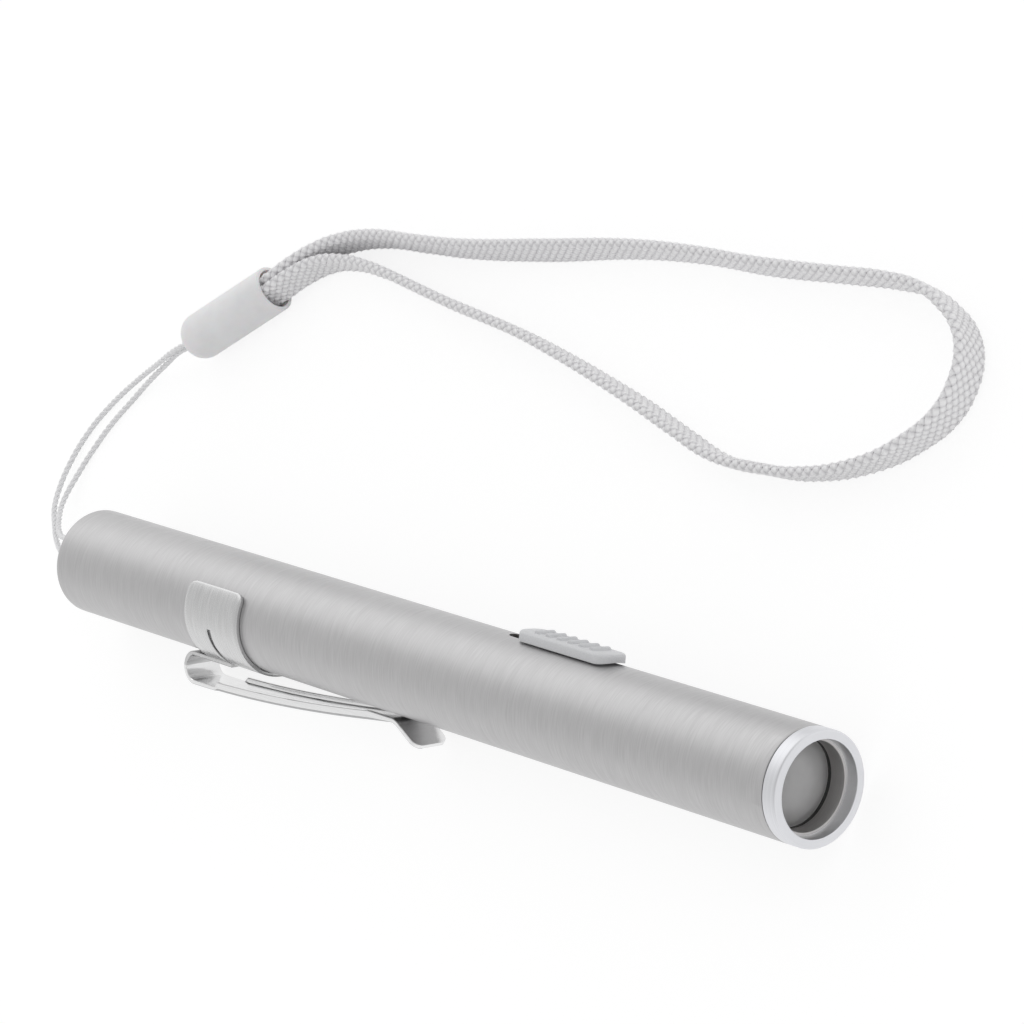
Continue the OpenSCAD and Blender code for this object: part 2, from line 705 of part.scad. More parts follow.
// Direction of a route at one of its points
function route_along(route, i) =
  let (step = route[min(i + 1, len(route) - 1)] - route[max(i - 1, 0)]) step / norm(step);

// Level direction across a route at one of its points
function route_across(route, i) =
  let (along = route_along(route, i), across = [-along[1], along[0], 0]) across / norm(across);

// Rings of points round a route, from a section given as [across, up] pairs and its lean at each point
function swept(route, section, leans) =
  [for (i = [0 : len(route) - 1])
    let (level = route_across(route, i), rise = cross(route_along(route, i), level),
         across = level * cos(leans[i]) - rise * sin(leans[i]),
         up = rise * cos(leans[i]) + level * sin(leans[i]))
    each [for (p = section) route[i] + across * p[0] + up * p[1]]];

// A cord of one section along a route
module cord(route, section, leans) {
  polyhedron(swept(route, section, leans), tube_faces(len(route), len(section)));
}

// Thin cord, one length through both holes of the tail
module lanyard_string() {
  sides = 8;
  color("lightgray") cord(string_route,
    [for (k = [0 : sides - 1]) string_d / 2 * [cos(360 * k / sides), sin(360 * k / sides)]],
    [for (point = string_route) 0]);
}

// Flat braided strap, standing on its edge
module wrist_strap() {
  x = strap_t / 2;
  y = strap_w / 2;
  b = strap_t * strap_bevel_share;
  color("lightgray") cord(strap_route, [
    [x, b - y], [x, y - b], [x - b, y], [b - x, y], [-x, y - b], [-x, b - y], [b - x, -y], [x - b, -y]
  ], strap_leans);
}

// Plastic bullet with a socket for the strap's two ends and a hole for the thin cord
module lanyard_ferrule() {
  color("whitesmoke") translate(ferrule_tip) rotate([0, 0, ferrule_angle]) difference() {
    rotate([0, 90, 0]) rotate_extrude() {
      square([ferrule_d / 2 - ferrule_nose, ferrule_len]);
      translate([0, ferrule_nose]) square([ferrule_d / 2, ferrule_len - ferrule_nose]);
      intersection() {
        translate([ferrule_d / 2 - ferrule_nose, ferrule_nose]) circle(ferrule_nose);
        square([ferrule_d / 2, ferrule_nose + ferrule_nose]);
      }
    }
    rod(ferrule_len - ferrule_socket, ferrule_len + over, socket_r);
    rod(-over, ferrule_len, string_hole_r);
  }
}

barrel();
bezel();
lens();
lens_gasket();
reflector();
led_emitter();
led_board();
led_holder();
led_leads();
driver_board();
contact_holder();
contact_ring();
center_contact();
front_cell();
rear_cell();
battery_sleeve();
tail_spring();
tail_plug();
slider_button();
contact_strip();
clip_band();
clip_arm();
lanyard_string();
lanyard_ferrule();
wrist_strap();
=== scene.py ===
import json
import math
import bmesh
import bpy
from mathutils import Matrix, Vector

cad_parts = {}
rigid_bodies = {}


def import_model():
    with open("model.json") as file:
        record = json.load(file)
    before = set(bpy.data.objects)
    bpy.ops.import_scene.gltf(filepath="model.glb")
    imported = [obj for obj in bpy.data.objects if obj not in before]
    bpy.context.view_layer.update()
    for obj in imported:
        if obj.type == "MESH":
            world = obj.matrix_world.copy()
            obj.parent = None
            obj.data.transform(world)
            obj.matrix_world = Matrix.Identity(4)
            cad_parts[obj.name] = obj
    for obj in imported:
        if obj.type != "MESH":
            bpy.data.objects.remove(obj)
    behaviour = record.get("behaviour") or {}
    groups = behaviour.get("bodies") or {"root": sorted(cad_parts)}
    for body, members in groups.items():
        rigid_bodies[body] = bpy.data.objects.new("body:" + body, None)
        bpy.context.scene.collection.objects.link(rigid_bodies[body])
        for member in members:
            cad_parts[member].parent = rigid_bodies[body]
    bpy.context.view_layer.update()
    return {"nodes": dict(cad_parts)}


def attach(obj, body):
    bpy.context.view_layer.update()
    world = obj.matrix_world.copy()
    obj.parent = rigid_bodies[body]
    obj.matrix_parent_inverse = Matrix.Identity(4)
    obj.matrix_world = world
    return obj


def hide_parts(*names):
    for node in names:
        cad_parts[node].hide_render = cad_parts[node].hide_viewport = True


for left_over in list(bpy.data.objects):
    bpy.data.objects.remove(left_over)
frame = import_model()


# Camera. A long lens looks down on the head's end from the clip's side, and is turned so that
# the pen runs from the left edge down to the right.
def add(name, data):
    """Puts a new object in the scene"""
    made = bpy.data.objects.new(name, data)
    bpy.context.scene.collection.objects.link(made)
    return made


camera = add("camera", bpy.data.cameras.new("camera"))
camera.data.sensor_width = 36
camera.data.lens = 175.78
camera_place = (0.437145, -0.013560, 0.381282)
to_right = Vector((0.633387, 0.330302, -0.699801))
to_top = Vector((-0.173988, 0.941960, 0.287123))
camera_turn = Matrix((to_right, to_top, to_right.cross(to_top))).transposed().to_4x4()
camera.matrix_world = Matrix.Translation(camera_place) @ camera_turn
bpy.context.scene.camera = camera


# Floor and light. A pale matt table, which the camera and the metal see as the white backdrop with
# the object's shadow on it, inside a soft tent that is brightest low down, with one broad lamp.
def new_node(tree, kind, inputs=None, **settings):
    """Adds a node, and sets or links its inputs by name or number"""
    made = tree.nodes.new(kind)
    for key, value in settings.items():
        setattr(made, key, value)
    for key, value in (inputs or {}).items():
        if isinstance(value, bpy.types.NodeSocket):
            tree.links.new(value, made.inputs[key])
        else:
            made.inputs[key].default_value = value
    return made


def tree_of(values):
    """The tree that the sockets among some values belong to"""
    return next(value.id_data for value in values if isinstance(value, bpy.types.NodeSocket))


def calc(operation, *values):
    """One step of arithmetic in a tree"""
    return new_node(tree_of(values), "ShaderNodeMath", dict(enumerate(values)), operation=operation).outputs[0]


def span(source, first, last, low, high):
    """Maps a value that runs from first to last onto low to high"""
    return new_node(source.id_data, "ShaderNodeMapRange", {
        "Value": source, "From Min": first, "From Max": last, "To Min": low, "To Max": high}).outputs["Result"]


floor_half = 3.0
floor_corners = [(x * floor_half, y * floor_half, 0) for x, y in ((-1, -1), (1, -1), (1, 1), (-1, 1))]
floor_mesh = bpy.data.meshes.new("floor")
floor_mesh.from_pydata(floor_corners, [], [(0, 1, 2, 3)])
floor = add("floor", floor_mesh)
floor_paint = bpy.data.materials.new("floor_paint")
floor_paint.use_nodes = True
floor_tree = floor_paint.node_tree
floor_tree.nodes.clear()
ray = new_node(floor_tree, "ShaderNodeLightPath").outputs
seen = calc("MAXIMUM", calc("MAXIMUM", ray["Is Camera Ray"], ray["Is Glossy Ray"]), ray["Is Transmission Ray"])
matt = new_node(floor_tree, "ShaderNodeBsdfDiffuse", {"Color": (0.85, 0.85, 0.85, 1)})
thin = new_node(floor_tree, "ShaderNodeBsdfDiffuse", {"Color": (0.25, 0.25, 0.25, 1)})
glow = new_node(floor_tree, "ShaderNodeEmission", {"Color": (1, 1, 1, 1), "Strength": 0.81})
backdrop = new_node(floor_tree, "ShaderNodeAddShader", {0: thin.outputs[0], 1: glow.outputs[0]})
either = new_node(floor_tree, "ShaderNodeMixShader", {0: seen, 1: matt.outputs[0], 2: backdrop.outputs[0]})
new_node(floor_tree, "ShaderNodeOutputMaterial", {"Surface": either.outputs[0]})
floor_mesh.materials.append(floor_paint)

sky = bpy.data.worlds.new("studio")
sky.use_nodes = True
bpy.context.scene.world = sky
tent = sky.node_tree.nodes["Background"]
aim = new_node(sky.node_tree, "ShaderNodeTexCoord")
aim = new_node(sky.node_tree, "ShaderNodeSeparateXYZ", {0: aim.outputs["Generated"]})
tent.inputs["Color"].default_value = (1, 1, 1, 1)
sky.node_tree.links.new(span(aim.outputs["Z"], 0.0, 1.0, 1.05, 0.6), tent.inputs["Strength"])
lamp = add("softbox", bpy.data.lights.new("softbox", "AREA"))
lamp.data.shape = "RECTANGLE"
lamp.data.size, lamp.data.size_y = 0.9, 0.9
lamp.data.energy = 1.4
lamp.location = (-0.75, 0.6, 0.6)
lamp.rotation_mode = "QUATERNION"
lamp.rotation_quaternion = lamp.location.to_track_quat("Z", "Y")
bpy.context.scene.view_settings.view_transform = "Standard"


# Barrel. Stainless tube drawn with a closed tail, its edge spun over, then brushed round on a
# lathe. The slide's slot is milled through one side, and two lanyard holes go through the tail.
body_r, bore_r, tail_x, seam_x = 6.5, 6.0, -66.5, 64.4
tail_round, tail_wall, mouth_break, tail_rings = 0.7, 1.0, 0.08, (1.5, 3.0, 4.5)
slot_rear_x, slot_front_x, slot_w = 14.35, 30.55, 2.0
lanyard_hole_d, lanyard_hole_pitch, cut_past, cut_len = 1.6, 3.2, 1, 3
axis_y, axis_z = 0.001234, 0.0065
clip_turn, slide_turn, sharp_angle = 23.32086, -6, 35
on_pen = Matrix.Translation((0, axis_y, axis_z)) @ Matrix.Scale(0.001, 4)
turned = on_pen @ Matrix.Rotation(math.radians(clip_turn), 4, "X")
slide_side = turned @ Matrix.Rotation(math.radians(slide_turn), 4, "X")


def spread(first, last, count):
    """Evenly spaced values from first to last, both included"""
    return [first + (last - first) * i / count for i in range(count + 1)]


def arc(x, y, radius, first, last, steps=6):
    """Points of an arc: its centre, its radius, and the angles that it runs between"""
    turns = [math.radians(a) for a in spread(first, last, steps)]
    return [(x + radius * math.cos(a), y + radius * math.sin(a)) for a in turns]


def ring(x, y, radius, points):
    """Points of a whole circle"""
    return arc(x, y, radius, 0, 360 - 360 / points, points - 1)


def piece_from(name, shape, place):
    """An object from a bmesh drawn in mm, facing outward, with its place put into the mesh"""
    bmesh.ops.recalc_face_normals(shape, faces=shape.faces)
    mesh = bpy.data.meshes.new(name)
    shape.to_mesh(mesh)
    shape.free()
    mesh.transform(place)
    return add(name, mesh)


def lathe(name, outline, steps=192, raised=None, place=turned):
    """Turns an outline of (x, r) points round an axis; it closes on itself unless it ends on the axis"""
    shape = bmesh.new()
    wrap = shape.loops.layers.uv.new("wrap")
    rows, along, last = [], [], outline[0]
    for x, r in outline:
        along.append((along[-1] if along else 0.0) + math.hypot(x - last[0], r - last[1]))
        last = (x, r)
        if r == 0:
            rows.append([shape.verts.new((x, 0, 0))] * (steps + 1))
            continue
        row = []
        for k in range(steps):
            turn = 2 * math.pi * k / steps
            out = raised(x, r, k / steps) if raised else r
            row.append(shape.verts.new((x, out * math.cos(turn), out * math.sin(turn))))
        rows.append(row + row[:1])
    along.append(along[-1] + 1)
    pairs = len(rows) - 1 if outline[0][1] == 0 else len(rows)
    for i in range(pairs):
        one, two = rows[i], rows[(i + 1) % len(rows)]
        for k in range(steps):
            corners = [(one[k], k, i), (one[k + 1], k + 1, i), (two[k + 1], k + 1, i + 1), (two[k], k, i + 1)]
            kept = []
            for corner in corners:
                if corner[0] not in [c[0] for c in kept]:
                    kept.append(corner)
            face = shape.faces.new([c[0] for c in kept])
            for loop, corner in zip(face.loops, kept):
                loop[wrap].uv = (corner[1] / steps, along[corner[2]])
    return piece_from(name, shape, place)


def skin(shape, rows, second=()):
    """Closes a solid through rows of points; faces whose number round is in second take a second finish"""
    for one, two in zip(rows, rows[1:]):
        for k in range(len(one)):
            n = (k + 1) % len(one)
            shape.faces.new((one[k], one[n], two[n], two[k])).material_index = int(k in second)
    shape.faces.new(rows[0])
    shape.faces.new(rows[-1])


def prism(name, corners, push, place=turned):
    """A solid made by pushing a flat outline along a direction"""
    shape = bmesh.new()
    skin(shape, [[shape.verts.new(Vector(c) + shift) for c in corners] for shift in (Vector(), Vector(push))])
    return piece_from(name, shape, place)


def smooth(piece, sharp=sharp_angle):
    """Shades a piece smooth except at edges sharper than an angle"""
    piece.data.shade_smooth()
    piece.data.set_sharp_from_angle(angle=math.radians(sharp))


def plain_mesh(piece):
    """A new mesh of what an object's modifiers make"""
    return bpy.data.meshes.new_from_object(piece.evaluated_get(bpy.context.evaluated_depsgraph_get()))


def settle(piece):
    """Turns what the modifiers make into the piece's own mesh"""
    mesh = plain_mesh(piece)
    piece.modifiers.clear()
    piece.data = mesh
    smooth(piece)


def cut_away(piece, *cutters):
    """Takes solids out of a piece"""
    for cutter in cutters:
        cut = piece.modifiers.new("cut", "BOOLEAN")
        cut.operation, cut.solver, cut.object = "DIFFERENCE", "EXACT", cutter
    settle(piece)
    for cutter in cutters:
        bpy.data.objects.remove(cutter)


def soften(piece, width, segments=2):
    """Rounds the sharp edges of a piece, in mm"""
    edge = piece.modifiers.new("edges", "BEVEL")
    edge.width, edge.segments = width / 1000, segments
    edge.limit_method, edge.angle_limit = "ANGLE", math.radians(sharp_angle)
    settle(piece)


def new_finish(name, colour, rough, metal=0.0, **others):
    """A material, with the values that are the same all over"""
    made = bpy.data.materials.new(name)
    made.use_nodes = True
    values = {"Base Color": (*colour, 1), "Roughness": rough, "Metallic": metal}
    values.update({key.replace("_", " "): value for key, value in others.items()})
    for key, value in values.items():
        made.node_tree.nodes["Principled BSDF"].inputs[key].default_value = value
    return made


def drive(material, name, source):
    """Links a value to an input of a material's shader"""
    material.node_tree.links.new(source, material.node_tree.nodes["Principled BSDF"].inputs[name])


def grain(material, size, detail):
    """Noise on the object's own coordinates: size is the length of the grain along X, Y and Z, in mm"""
    tree = material.node_tree
    place = new_node(tree, "ShaderNodeTexCoord")
    stretch = new_node(tree, "ShaderNodeMapping", {
        "Vector": place.outputs["Object"], "Scale": [1000 / s for s in size]})
    noise = new_node(tree, "ShaderNodeTexNoise", {"Vector": stretch.outputs[0], "Scale": 1.0, "Detail": detail})
    return noise.outputs["Fac"]


def tint(material, source, dark, light, low=0.3, high=0.7):
    """Colours a surface between two shades by a pattern"""
    ramp = new_node(material.node_tree, "ShaderNodeValToRGB", {"Fac": source})
    for stop, place, colour in zip(ramp.color_ramp.elements, (low, high), (dark, light)):
        stop.position, stop.color = place, (*colour, 1)
    drive(material, "Base Color", ramp.outputs["Color"])


def roughen(material, source, low, high):
    """Lets a pattern set how dull a surface is"""
    drive(material, "Roughness", span(source, 0.25, 0.75, low, high))


def emboss(material, source, height, strength=0.5):
    """Raises a pattern from a surface, by a height in mm"""
    bump = new_node(material.node_tree, "ShaderNodeBump", {
        "Height": source, "Strength": strength, "Distance": height / 1000})
    drive(material, "Normal", bump.outputs["Normal"])


def brushed(material):
    """Turns the stretched gloss of a brushed metal along the lathe's own map"""
    along = new_node(material.node_tree, "ShaderNodeTangent", direction_type="UV_MAP", uv_map="wrap")
    drive(material, "Tangent", along.outputs[0])


def paint(piece, *finishes):
    """Gives a piece its finishes in place of any that it has, the first of them on every face"""
    piece.data.materials.clear()
    for finish in finishes:
        piece.data.materials.append(finish)


tube_rear_x, tube_front_x, tail_inside_x = tail_x + tail_round, seam_x - mouth_break, tail_x + tail_wall
barrel_outline = [(tail_x, r) for r in (0, *tail_rings)]
barrel_outline += arc(tube_rear_x, body_r - tail_round, tail_round, 180, 90, 10)
barrel_outline += [(x, body_r) for x in spread(tube_rear_x, tube_front_x, 60)[1:]]
barrel_outline += [(seam_x, body_r - mouth_break), (seam_x, bore_r + mouth_break), (tube_front_x, bore_r)]
barrel_outline += [(x, bore_r) for x in spread(seam_x, tail_inside_x, 30)[1:]]
barrel_outline += [(tail_inside_x, r) for r in (*reversed(tail_rings), 0)]
barrel = lathe("barrel_tube", barrel_outline)
slot_half = slot_w / 2
slot_line = arc(slot_front_x - slot_half, 0, slot_half, -90, 90, 16)
slot_line += arc(slot_rear_x + slot_half, 0, slot_half, 90, 270, 16)
slot_cutter = prism("slot_cutter", [(x, bore_r - cut_past, z) for x, z in slot_line], (0, cut_len, 0), slide_side)
hole_lines = [ring(side * lanyard_hole_pitch / 2, 0, lanyard_hole_d / 2, 24) for side in (-1, 1)]
hole_cutters = [prism("hole_cutter", [(tail_x - cut_past, y, z) for y, z in line], (cut_len, 0, 0))
                for line in hole_lines]
cut_away(barrel, slot_cutter, *hole_cutters)
soften(barrel, 0.05)
tube_steel = new_finish("brushed_tube", (0.5, 0.5, 0.5), 0.34, 1.0, Anisotropic=0.6)
fine_lines = grain(tube_steel, (0.11, 3, 3), 5)
tint(tube_steel, fine_lines, (0.465, 0.461, 0.464), (0.54, 0.536, 0.54))
roughen(tube_steel, grain(tube_steel, (0.3, 5, 5), 4), 0.36, 0.44)
emboss(tube_steel, fine_lines, 0.004, 0.4)
brushed(tube_steel)
paint(barrel, tube_steel)
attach(barrel, "penlight_body")
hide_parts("barrel")


# Clip band. Spring-steel sheet blanked with rounded wings and a relief slit, then rolled to grip
# the tube. A tongue of the same sheet runs back from it into the fixed leg of the hairpin.
sheet_t, sheet_edge = 0.5, 0.07
band_r, band_rear_x, band_front_x = 6.52, -38.2, -27.7
band_half_angle, wing_corner, side_steps = 122.0, 1.2, 8
slit_rear_x, slit_front_x, slit_half_angle = -33.9, -33.2, 77.0
clip_half_w, hairpin_x, hairpin_y, hairpin_r, tongue_x = 2.5, -42.3, 8.57, 1.8, -34.6


def swept(name, line, sections, second=()):
    """A bar along a line of (x, y) points, with its outline of (height, z) points at each"""
    shape = bmesh.new()
    rows = []
    for i, (x, y) in enumerate(line):
        before, after = line[max(i - 1, 0)], line[min(i + 1, len(line) - 1)]
        run = Vector((after[0] - before[0], after[1] - before[1])).normalized()
        rows.append([shape.verts.new((x - run.y * a, y + run.x * a, b)) for a, b in sections[i]])
    skin(shape, rows, second)
    bmesh.ops.remove_doubles(shape, verts=shape.verts, dist=0.001)
    made = piece_from(name, shape, turned)
    smooth(made)
    return made


def join(piece, *others):
    """Makes several objects one piece"""
    shape = bmesh.new()
    for one in (piece, *others):
        shape.from_mesh(one.data)
    shape.to_mesh(piece.data)
    shape.free()
    for one in others:
        bpy.data.objects.remove(one)


def grained(name, colour, rough, metal, size, shades, dull, relief=0.0, strength=0.5, detail=3, **others):
    """A finish whose shade, dullness and relief all follow one grain"""
    made = new_finish(name, colour, rough, metal, **others)
    pattern = grain(made, size, detail)
    tint(made, pattern, *shades)
    roughen(made, pattern, *dull)
    if relief:
        emboss(made, pattern, relief, strength)
    return made


outer_r = band_r + sheet_t
wing_turn = math.degrees(wing_corner / outer_r)
wing_angles = spread(slit_half_angle, band_half_angle - wing_turn, 10)
wing_angles += [band_half_angle - wing_turn * math.cos(math.pi / 2 * i / 8) for i in range(1, 9)]
band_angles = [-a for a in reversed(wing_angles)]
band_angles += spread(-slit_half_angle, slit_half_angle, 64)[1:-1] + wing_angles
band_shape = bmesh.new()
band_rows = []
for angle in band_angles:
    to_end = (band_half_angle - abs(angle)) / wing_turn * wing_corner
    inset = wing_corner - math.sqrt(max(wing_corner ** 2 - (wing_corner - min(to_end, wing_corner)) ** 2, 0))
    stations = spread(band_rear_x + inset, slit_rear_x, side_steps)
    stations += spread(slit_front_x, band_front_x - inset, side_steps)
    down, side = -outer_r * math.cos(math.radians(angle)), outer_r * math.sin(math.radians(angle))
    band_rows.append([band_shape.verts.new((x, down, side)) for x in stations])
for angle, next_angle, one, two in zip(band_angles, band_angles[1:], band_rows, band_rows[1:]):
    in_slit = abs(angle + next_angle) / 2 < slit_half_angle
    for k in range(len(one) - 1):
        if not (in_slit and k == side_steps):
            band_shape.faces.new((one[k], one[k + 1], two[k + 1], two[k]))
clip_band = piece_from("clip_band_sheet", band_shape, turned)
wall = clip_band.modifiers.new("wall", "SOLIDIFY")
wall.thickness, wall.offset = sheet_t / 1000, -1
settle(clip_band)
first_face = clip_band.data.polygons[0]
if first_face.normal.dot(first_face.center - Vector((first_face.center.x, axis_y, axis_z))) < 0:
    clip_band.data.flip_normals()
soften(clip_band, sheet_edge)
half_t, flat_half_t, flat_half_w = sheet_t / 2, sheet_t / 2 - sheet_edge, clip_half_w - sheet_edge
leg_side = [(half_t, flat_half_w), (flat_half_t, clip_half_w), (-flat_half_t, clip_half_w), (-half_t, flat_half_w)]
leg_section = leg_side + [(a, -b) for a, b in reversed(leg_side)]
leg_line = [(x, -band_r - half_t) for x in spread(tongue_x, hairpin_x, 12)[:-1]]
leg_line += arc(hairpin_x, -hairpin_y, hairpin_r, 90, 180, 16)
join(clip_band, swept("clip_leg", leg_line, [leg_section] * len(leg_line)))
paint(clip_band, grained(
    "band_steel", (0.6, 0.6, 0.602), 0.26, 1.0, size=(0.3, 4, 4), detail=4,
    shades=((0.57, 0.57, 0.572), (0.65, 0.65, 0.652)), dull=(0.22, 0.32), relief=0.003, strength=0.3))
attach(clip_band, "penlight_body")
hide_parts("clip_band")


# Clip arm. The same sheet, turned back at the hairpin and swept in to press on the tube, with its
# long edges turned up to stiffen it and its end flared into a lip. It springs open from the hairpin.
arm_contact_x, arm_bend_y, arm_contact_y, arm_sweep_power = -3.0, 10.37, 6.85, 1.75
lip_tip_x, lip_rise, lip_corner, bend_half, bend_clear = 1.2, 2.45, 1.1, 0.7, 0.1
flange_h, flange_x, flange_step, flange_top_y = 0.6, -38.0, 0.08, -6.7
root_share, root_middle_share, edge_share = 0.3, 0.09, 0.4
fold_more, fold_steps, wall_points = 0.26, 4, 7


def channel_section(w, h):
    """Outline of the sheet with its edges turned up: its half width, and how far the edges rise"""
    inner, root, root_middle = w - sheet_t, root_share * h, root_middle_share * h
    edge, fold = min(sheet_edge, edge_share * h), sheet_edge + fold_more * min(h / flange_h, 1)
    side = [(half_t, inner - root), (half_t + root_middle, inner - root_middle), (half_t + root, inner),
            (half_t + h - edge, inner), (half_t + h, inner + edge),
            (half_t + h, w - sheet_edge), (half_t + h - sheet_edge, w)]
    side += arc(fold - half_t, w - fold, fold, 90, 180, fold_steps)
    return side + [(a, -b) for a, b in reversed(side)]


arm_run, lip_run, arm_rise = arm_contact_x - hairpin_x, lip_tip_x - arm_contact_x, arm_bend_y - arm_contact_y
lip_slope, slope_in = lip_rise / lip_run, arm_rise * arm_sweep_power / arm_run
arm_line = arc(hairpin_x, -hairpin_y, hairpin_r, 180, 270, 16)
flange_shares = [(flange_x + flange_step * i - hairpin_x) / arm_run for i in range(11)]
for share in sorted(spread(0, 1, 57)[1:-1] + flange_shares):
    x = hairpin_x + arm_run * share
    if x < arm_contact_x - bend_half - bend_clear:
        arm_line.append((x, -arm_bend_y + arm_rise * share ** arm_sweep_power))
bend_start = Vector((arm_contact_x - bend_half, -arm_contact_y - slope_in * bend_half))
bend_corner = Vector((arm_contact_x, -arm_contact_y))
bend_end = Vector((arm_contact_x + bend_half, -arm_contact_y - lip_slope * bend_half))
for t in spread(0, 1, 8):
    arm_line.append(tuple((1 - t) ** 2 * bend_start + 2 * t * (1 - t) * bend_corner + t * t * bend_end))
for t in spread(0, 1, 16)[1:]:
    x = arm_contact_x + bend_half + (lip_run - bend_half) * (1 - (1 - t) ** 2)
    arm_line.append((x, -arm_contact_y - lip_slope * (x - arm_contact_x)))
arm_sections = []
for x, y in arm_line:
    to_tip = min(max(lip_tip_x - x, 0), lip_corner)
    half_w = clip_half_w - lip_corner + math.sqrt(lip_corner ** 2 - (lip_corner - to_tip) ** 2)
    rise = max(min(flange_h, x - flange_x, flange_top_y - y - half_t), 0)
    arm_sections.append(channel_section(half_w, rise if x < arm_contact_x - bend_clear else 0))
under_web = wall_points + fold_steps
# Faces round the outer bends of the turned-up edges, which take the painted shade.
fold_shade_faces = [k for k in range(wall_points, under_web + fold_steps + 1) if k != under_web]
clip_arm = swept("clip_arm_sheet", arm_line, arm_sections, fold_shade_faces)
clip_steel = new_finish("clip_steel", (0.84, 0.84, 0.84), 0.16, 1.0)
roll_lines = grain(clip_steel, (6, 0.08, 0.08), 3)
tint(clip_steel, roll_lines, (0.8, 0.8, 0.802), (0.89, 0.89, 0.892))
roughen(clip_steel, grain(clip_steel, (3, 0.8, 0.8), 3), 0.11, 0.2)
emboss(clip_steel, roll_lines, 0.002, 0.3)
# A darker copy of the clip steel: painted shade along the outer bends of the turned-up edges.
clip_fold_painted_shade = grained(
    "clip_fold_painted_shade", (0.5, 0.5, 0.505), 0.34, 1.0, size=(0.6, 0.2, 0.2),
    shades=((0.37, 0.37, 0.375), (0.48, 0.48, 0.485)), dull=(0.28, 0.42))
for finish in (clip_steel, clip_fold_painted_shade):
    clip_arm.data.materials.append(finish)
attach(clip_arm, "clip_spring_arm")
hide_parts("clip_arm")


# Tail plug. Aluminium turned to press into the bore, with a spigot that centres the spring.
# It closes off the space behind the tail where the lanyard is threaded.
nodes = frame["nodes"]
turned_aluminium = grained(
    "turned_aluminium", (0.66, 0.67, 0.68), 0.3, 1.0, size=(0.1, 12, 12), detail=2,
    shades=((0.58, 0.59, 0.6), (0.7, 0.71, 0.72)), dull=(0.24, 0.4), relief=0.01)
paint(nodes["tail_plug"], turned_aluminium)


# Tail spring. Drawn steel wire coiled six turns, seated over the plug's spigot. It presses the
# cells forward and carries the current to the tube.
def new_tree(name, sizes):
    """A Geometry Nodes tree: a geometry coming in, a named input for each size, and a mesh going out"""
    tree = bpy.data.node_groups.new(name, "GeometryNodeTree")
    tree.interface.new_socket("Start", in_out="INPUT", socket_type="NodeSocketGeometry")
    for label, value in sizes.items():
        kind = "NodeSocketInt" if isinstance(value, int) else "NodeSocketFloat"
        tree.interface.new_socket(label, in_out="INPUT", socket_type=kind)
    tree.interface.new_socket("Mesh", in_out="OUTPUT", socket_type="NodeSocketGeometry")
    return tree, tree.nodes.new("NodeGroupInput").outputs


def drawn(line, section):
    """A bar with a section that follows a curve, closed at its ends"""
    return new_node(line.id_data, "GeometryNodeCurveToMesh", {
        "Curve": line, "Profile Curve": section, "Fill Caps": True}).outputs[0]


def end_tree(geometry, material):
    """Ends a tree: a plain mesh with its material, smooth"""
    tree = geometry.id_data
    plain = new_node(tree, "GeometryNodeRealizeInstances", {"Geometry": geometry})
    shaded = new_node(tree, "GeometryNodeSetShadeSmooth", {"Geometry": plain.outputs[0]})
    painted = new_node(tree, "GeometryNodeSetMaterial", {"Geometry": shaded.outputs[0], "Material": material})
    new_node(tree, "NodeGroupOutput", {"Mesh": painted.outputs[0]})


def grown(name, start, tree, sizes):
    """The plain mesh that a tree makes from a mesh or a curve, as a new object"""
    seed = add(name + "_start", start)
    grow = seed.modifiers.new("grow", "NODES")
    grow.node_group = tree
    for item in tree.interface.items_tree:
        if item.in_out == "INPUT" and item.name in sizes:
            grow[item.identifier] = sizes[item.name]
    mesh = plain_mesh(seed)
    mesh.name = name
    bpy.data.objects.remove(seed)
    return add(name, mesh)


spring_rear_x = -58.63
spring_wire_steel = grained(
    "spring_steel", (0.72, 0.73, 0.75), 0.2, 1.0, size=(0.4, 0.4, 0.4), detail=4,
    shades=((0.62, 0.63, 0.65), (0.76, 0.77, 0.79)), dull=(0.12, 0.3), relief=0.005)
spring_sizes = {"Turns": 6.0, "Mean radius": 0.00365, "Wire": 0.0007, "Length": 0.00676}
spring_tree, spring_in = new_tree("coil_of_wire", spring_sizes)
coil = new_node(spring_tree, "GeometryNodeCurveSpiral", {
    "Resolution": 40, "Rotations": spring_in["Turns"], "Start Radius": spring_in["Mean radius"],
    "End Radius": spring_in["Mean radius"], "Height": spring_in["Length"]})
wire_round = new_node(spring_tree, "GeometryNodeCurvePrimitiveCircle", {
    "Resolution": 12, "Radius": calc("MULTIPLY", spring_in["Wire"], 0.5)})
end_tree(drawn(coil.outputs[0], wire_round.outputs[0]), spring_wire_steel)
spring = grown("tail_spring_coil", bpy.data.meshes.new("spring_start"), spring_tree, spring_sizes)
spring_place = Matrix.Translation((spring_rear_x / 1000, axis_y, axis_z))
spring.data.transform(spring_place @ Matrix.Rotation(math.pi / 2, 4, "Y"))
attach(spring, "penlight_body")
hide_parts("tail_spring")


# Cells and sleeve. Two plain AAA cans in a shrunk jacket with bare steel ends, held off the tube
# by a rolled sleeve of thin black film.
def vector(operation, *values):
    """One step of vector arithmetic in a tree"""
    inputs = {0: values[0], "Scale": values[1]} if operation == "SCALE" else dict(enumerate(values))
    return new_node(tree_of(values), "ShaderNodeVectorMath", inputs, operation=operation).outputs[0]


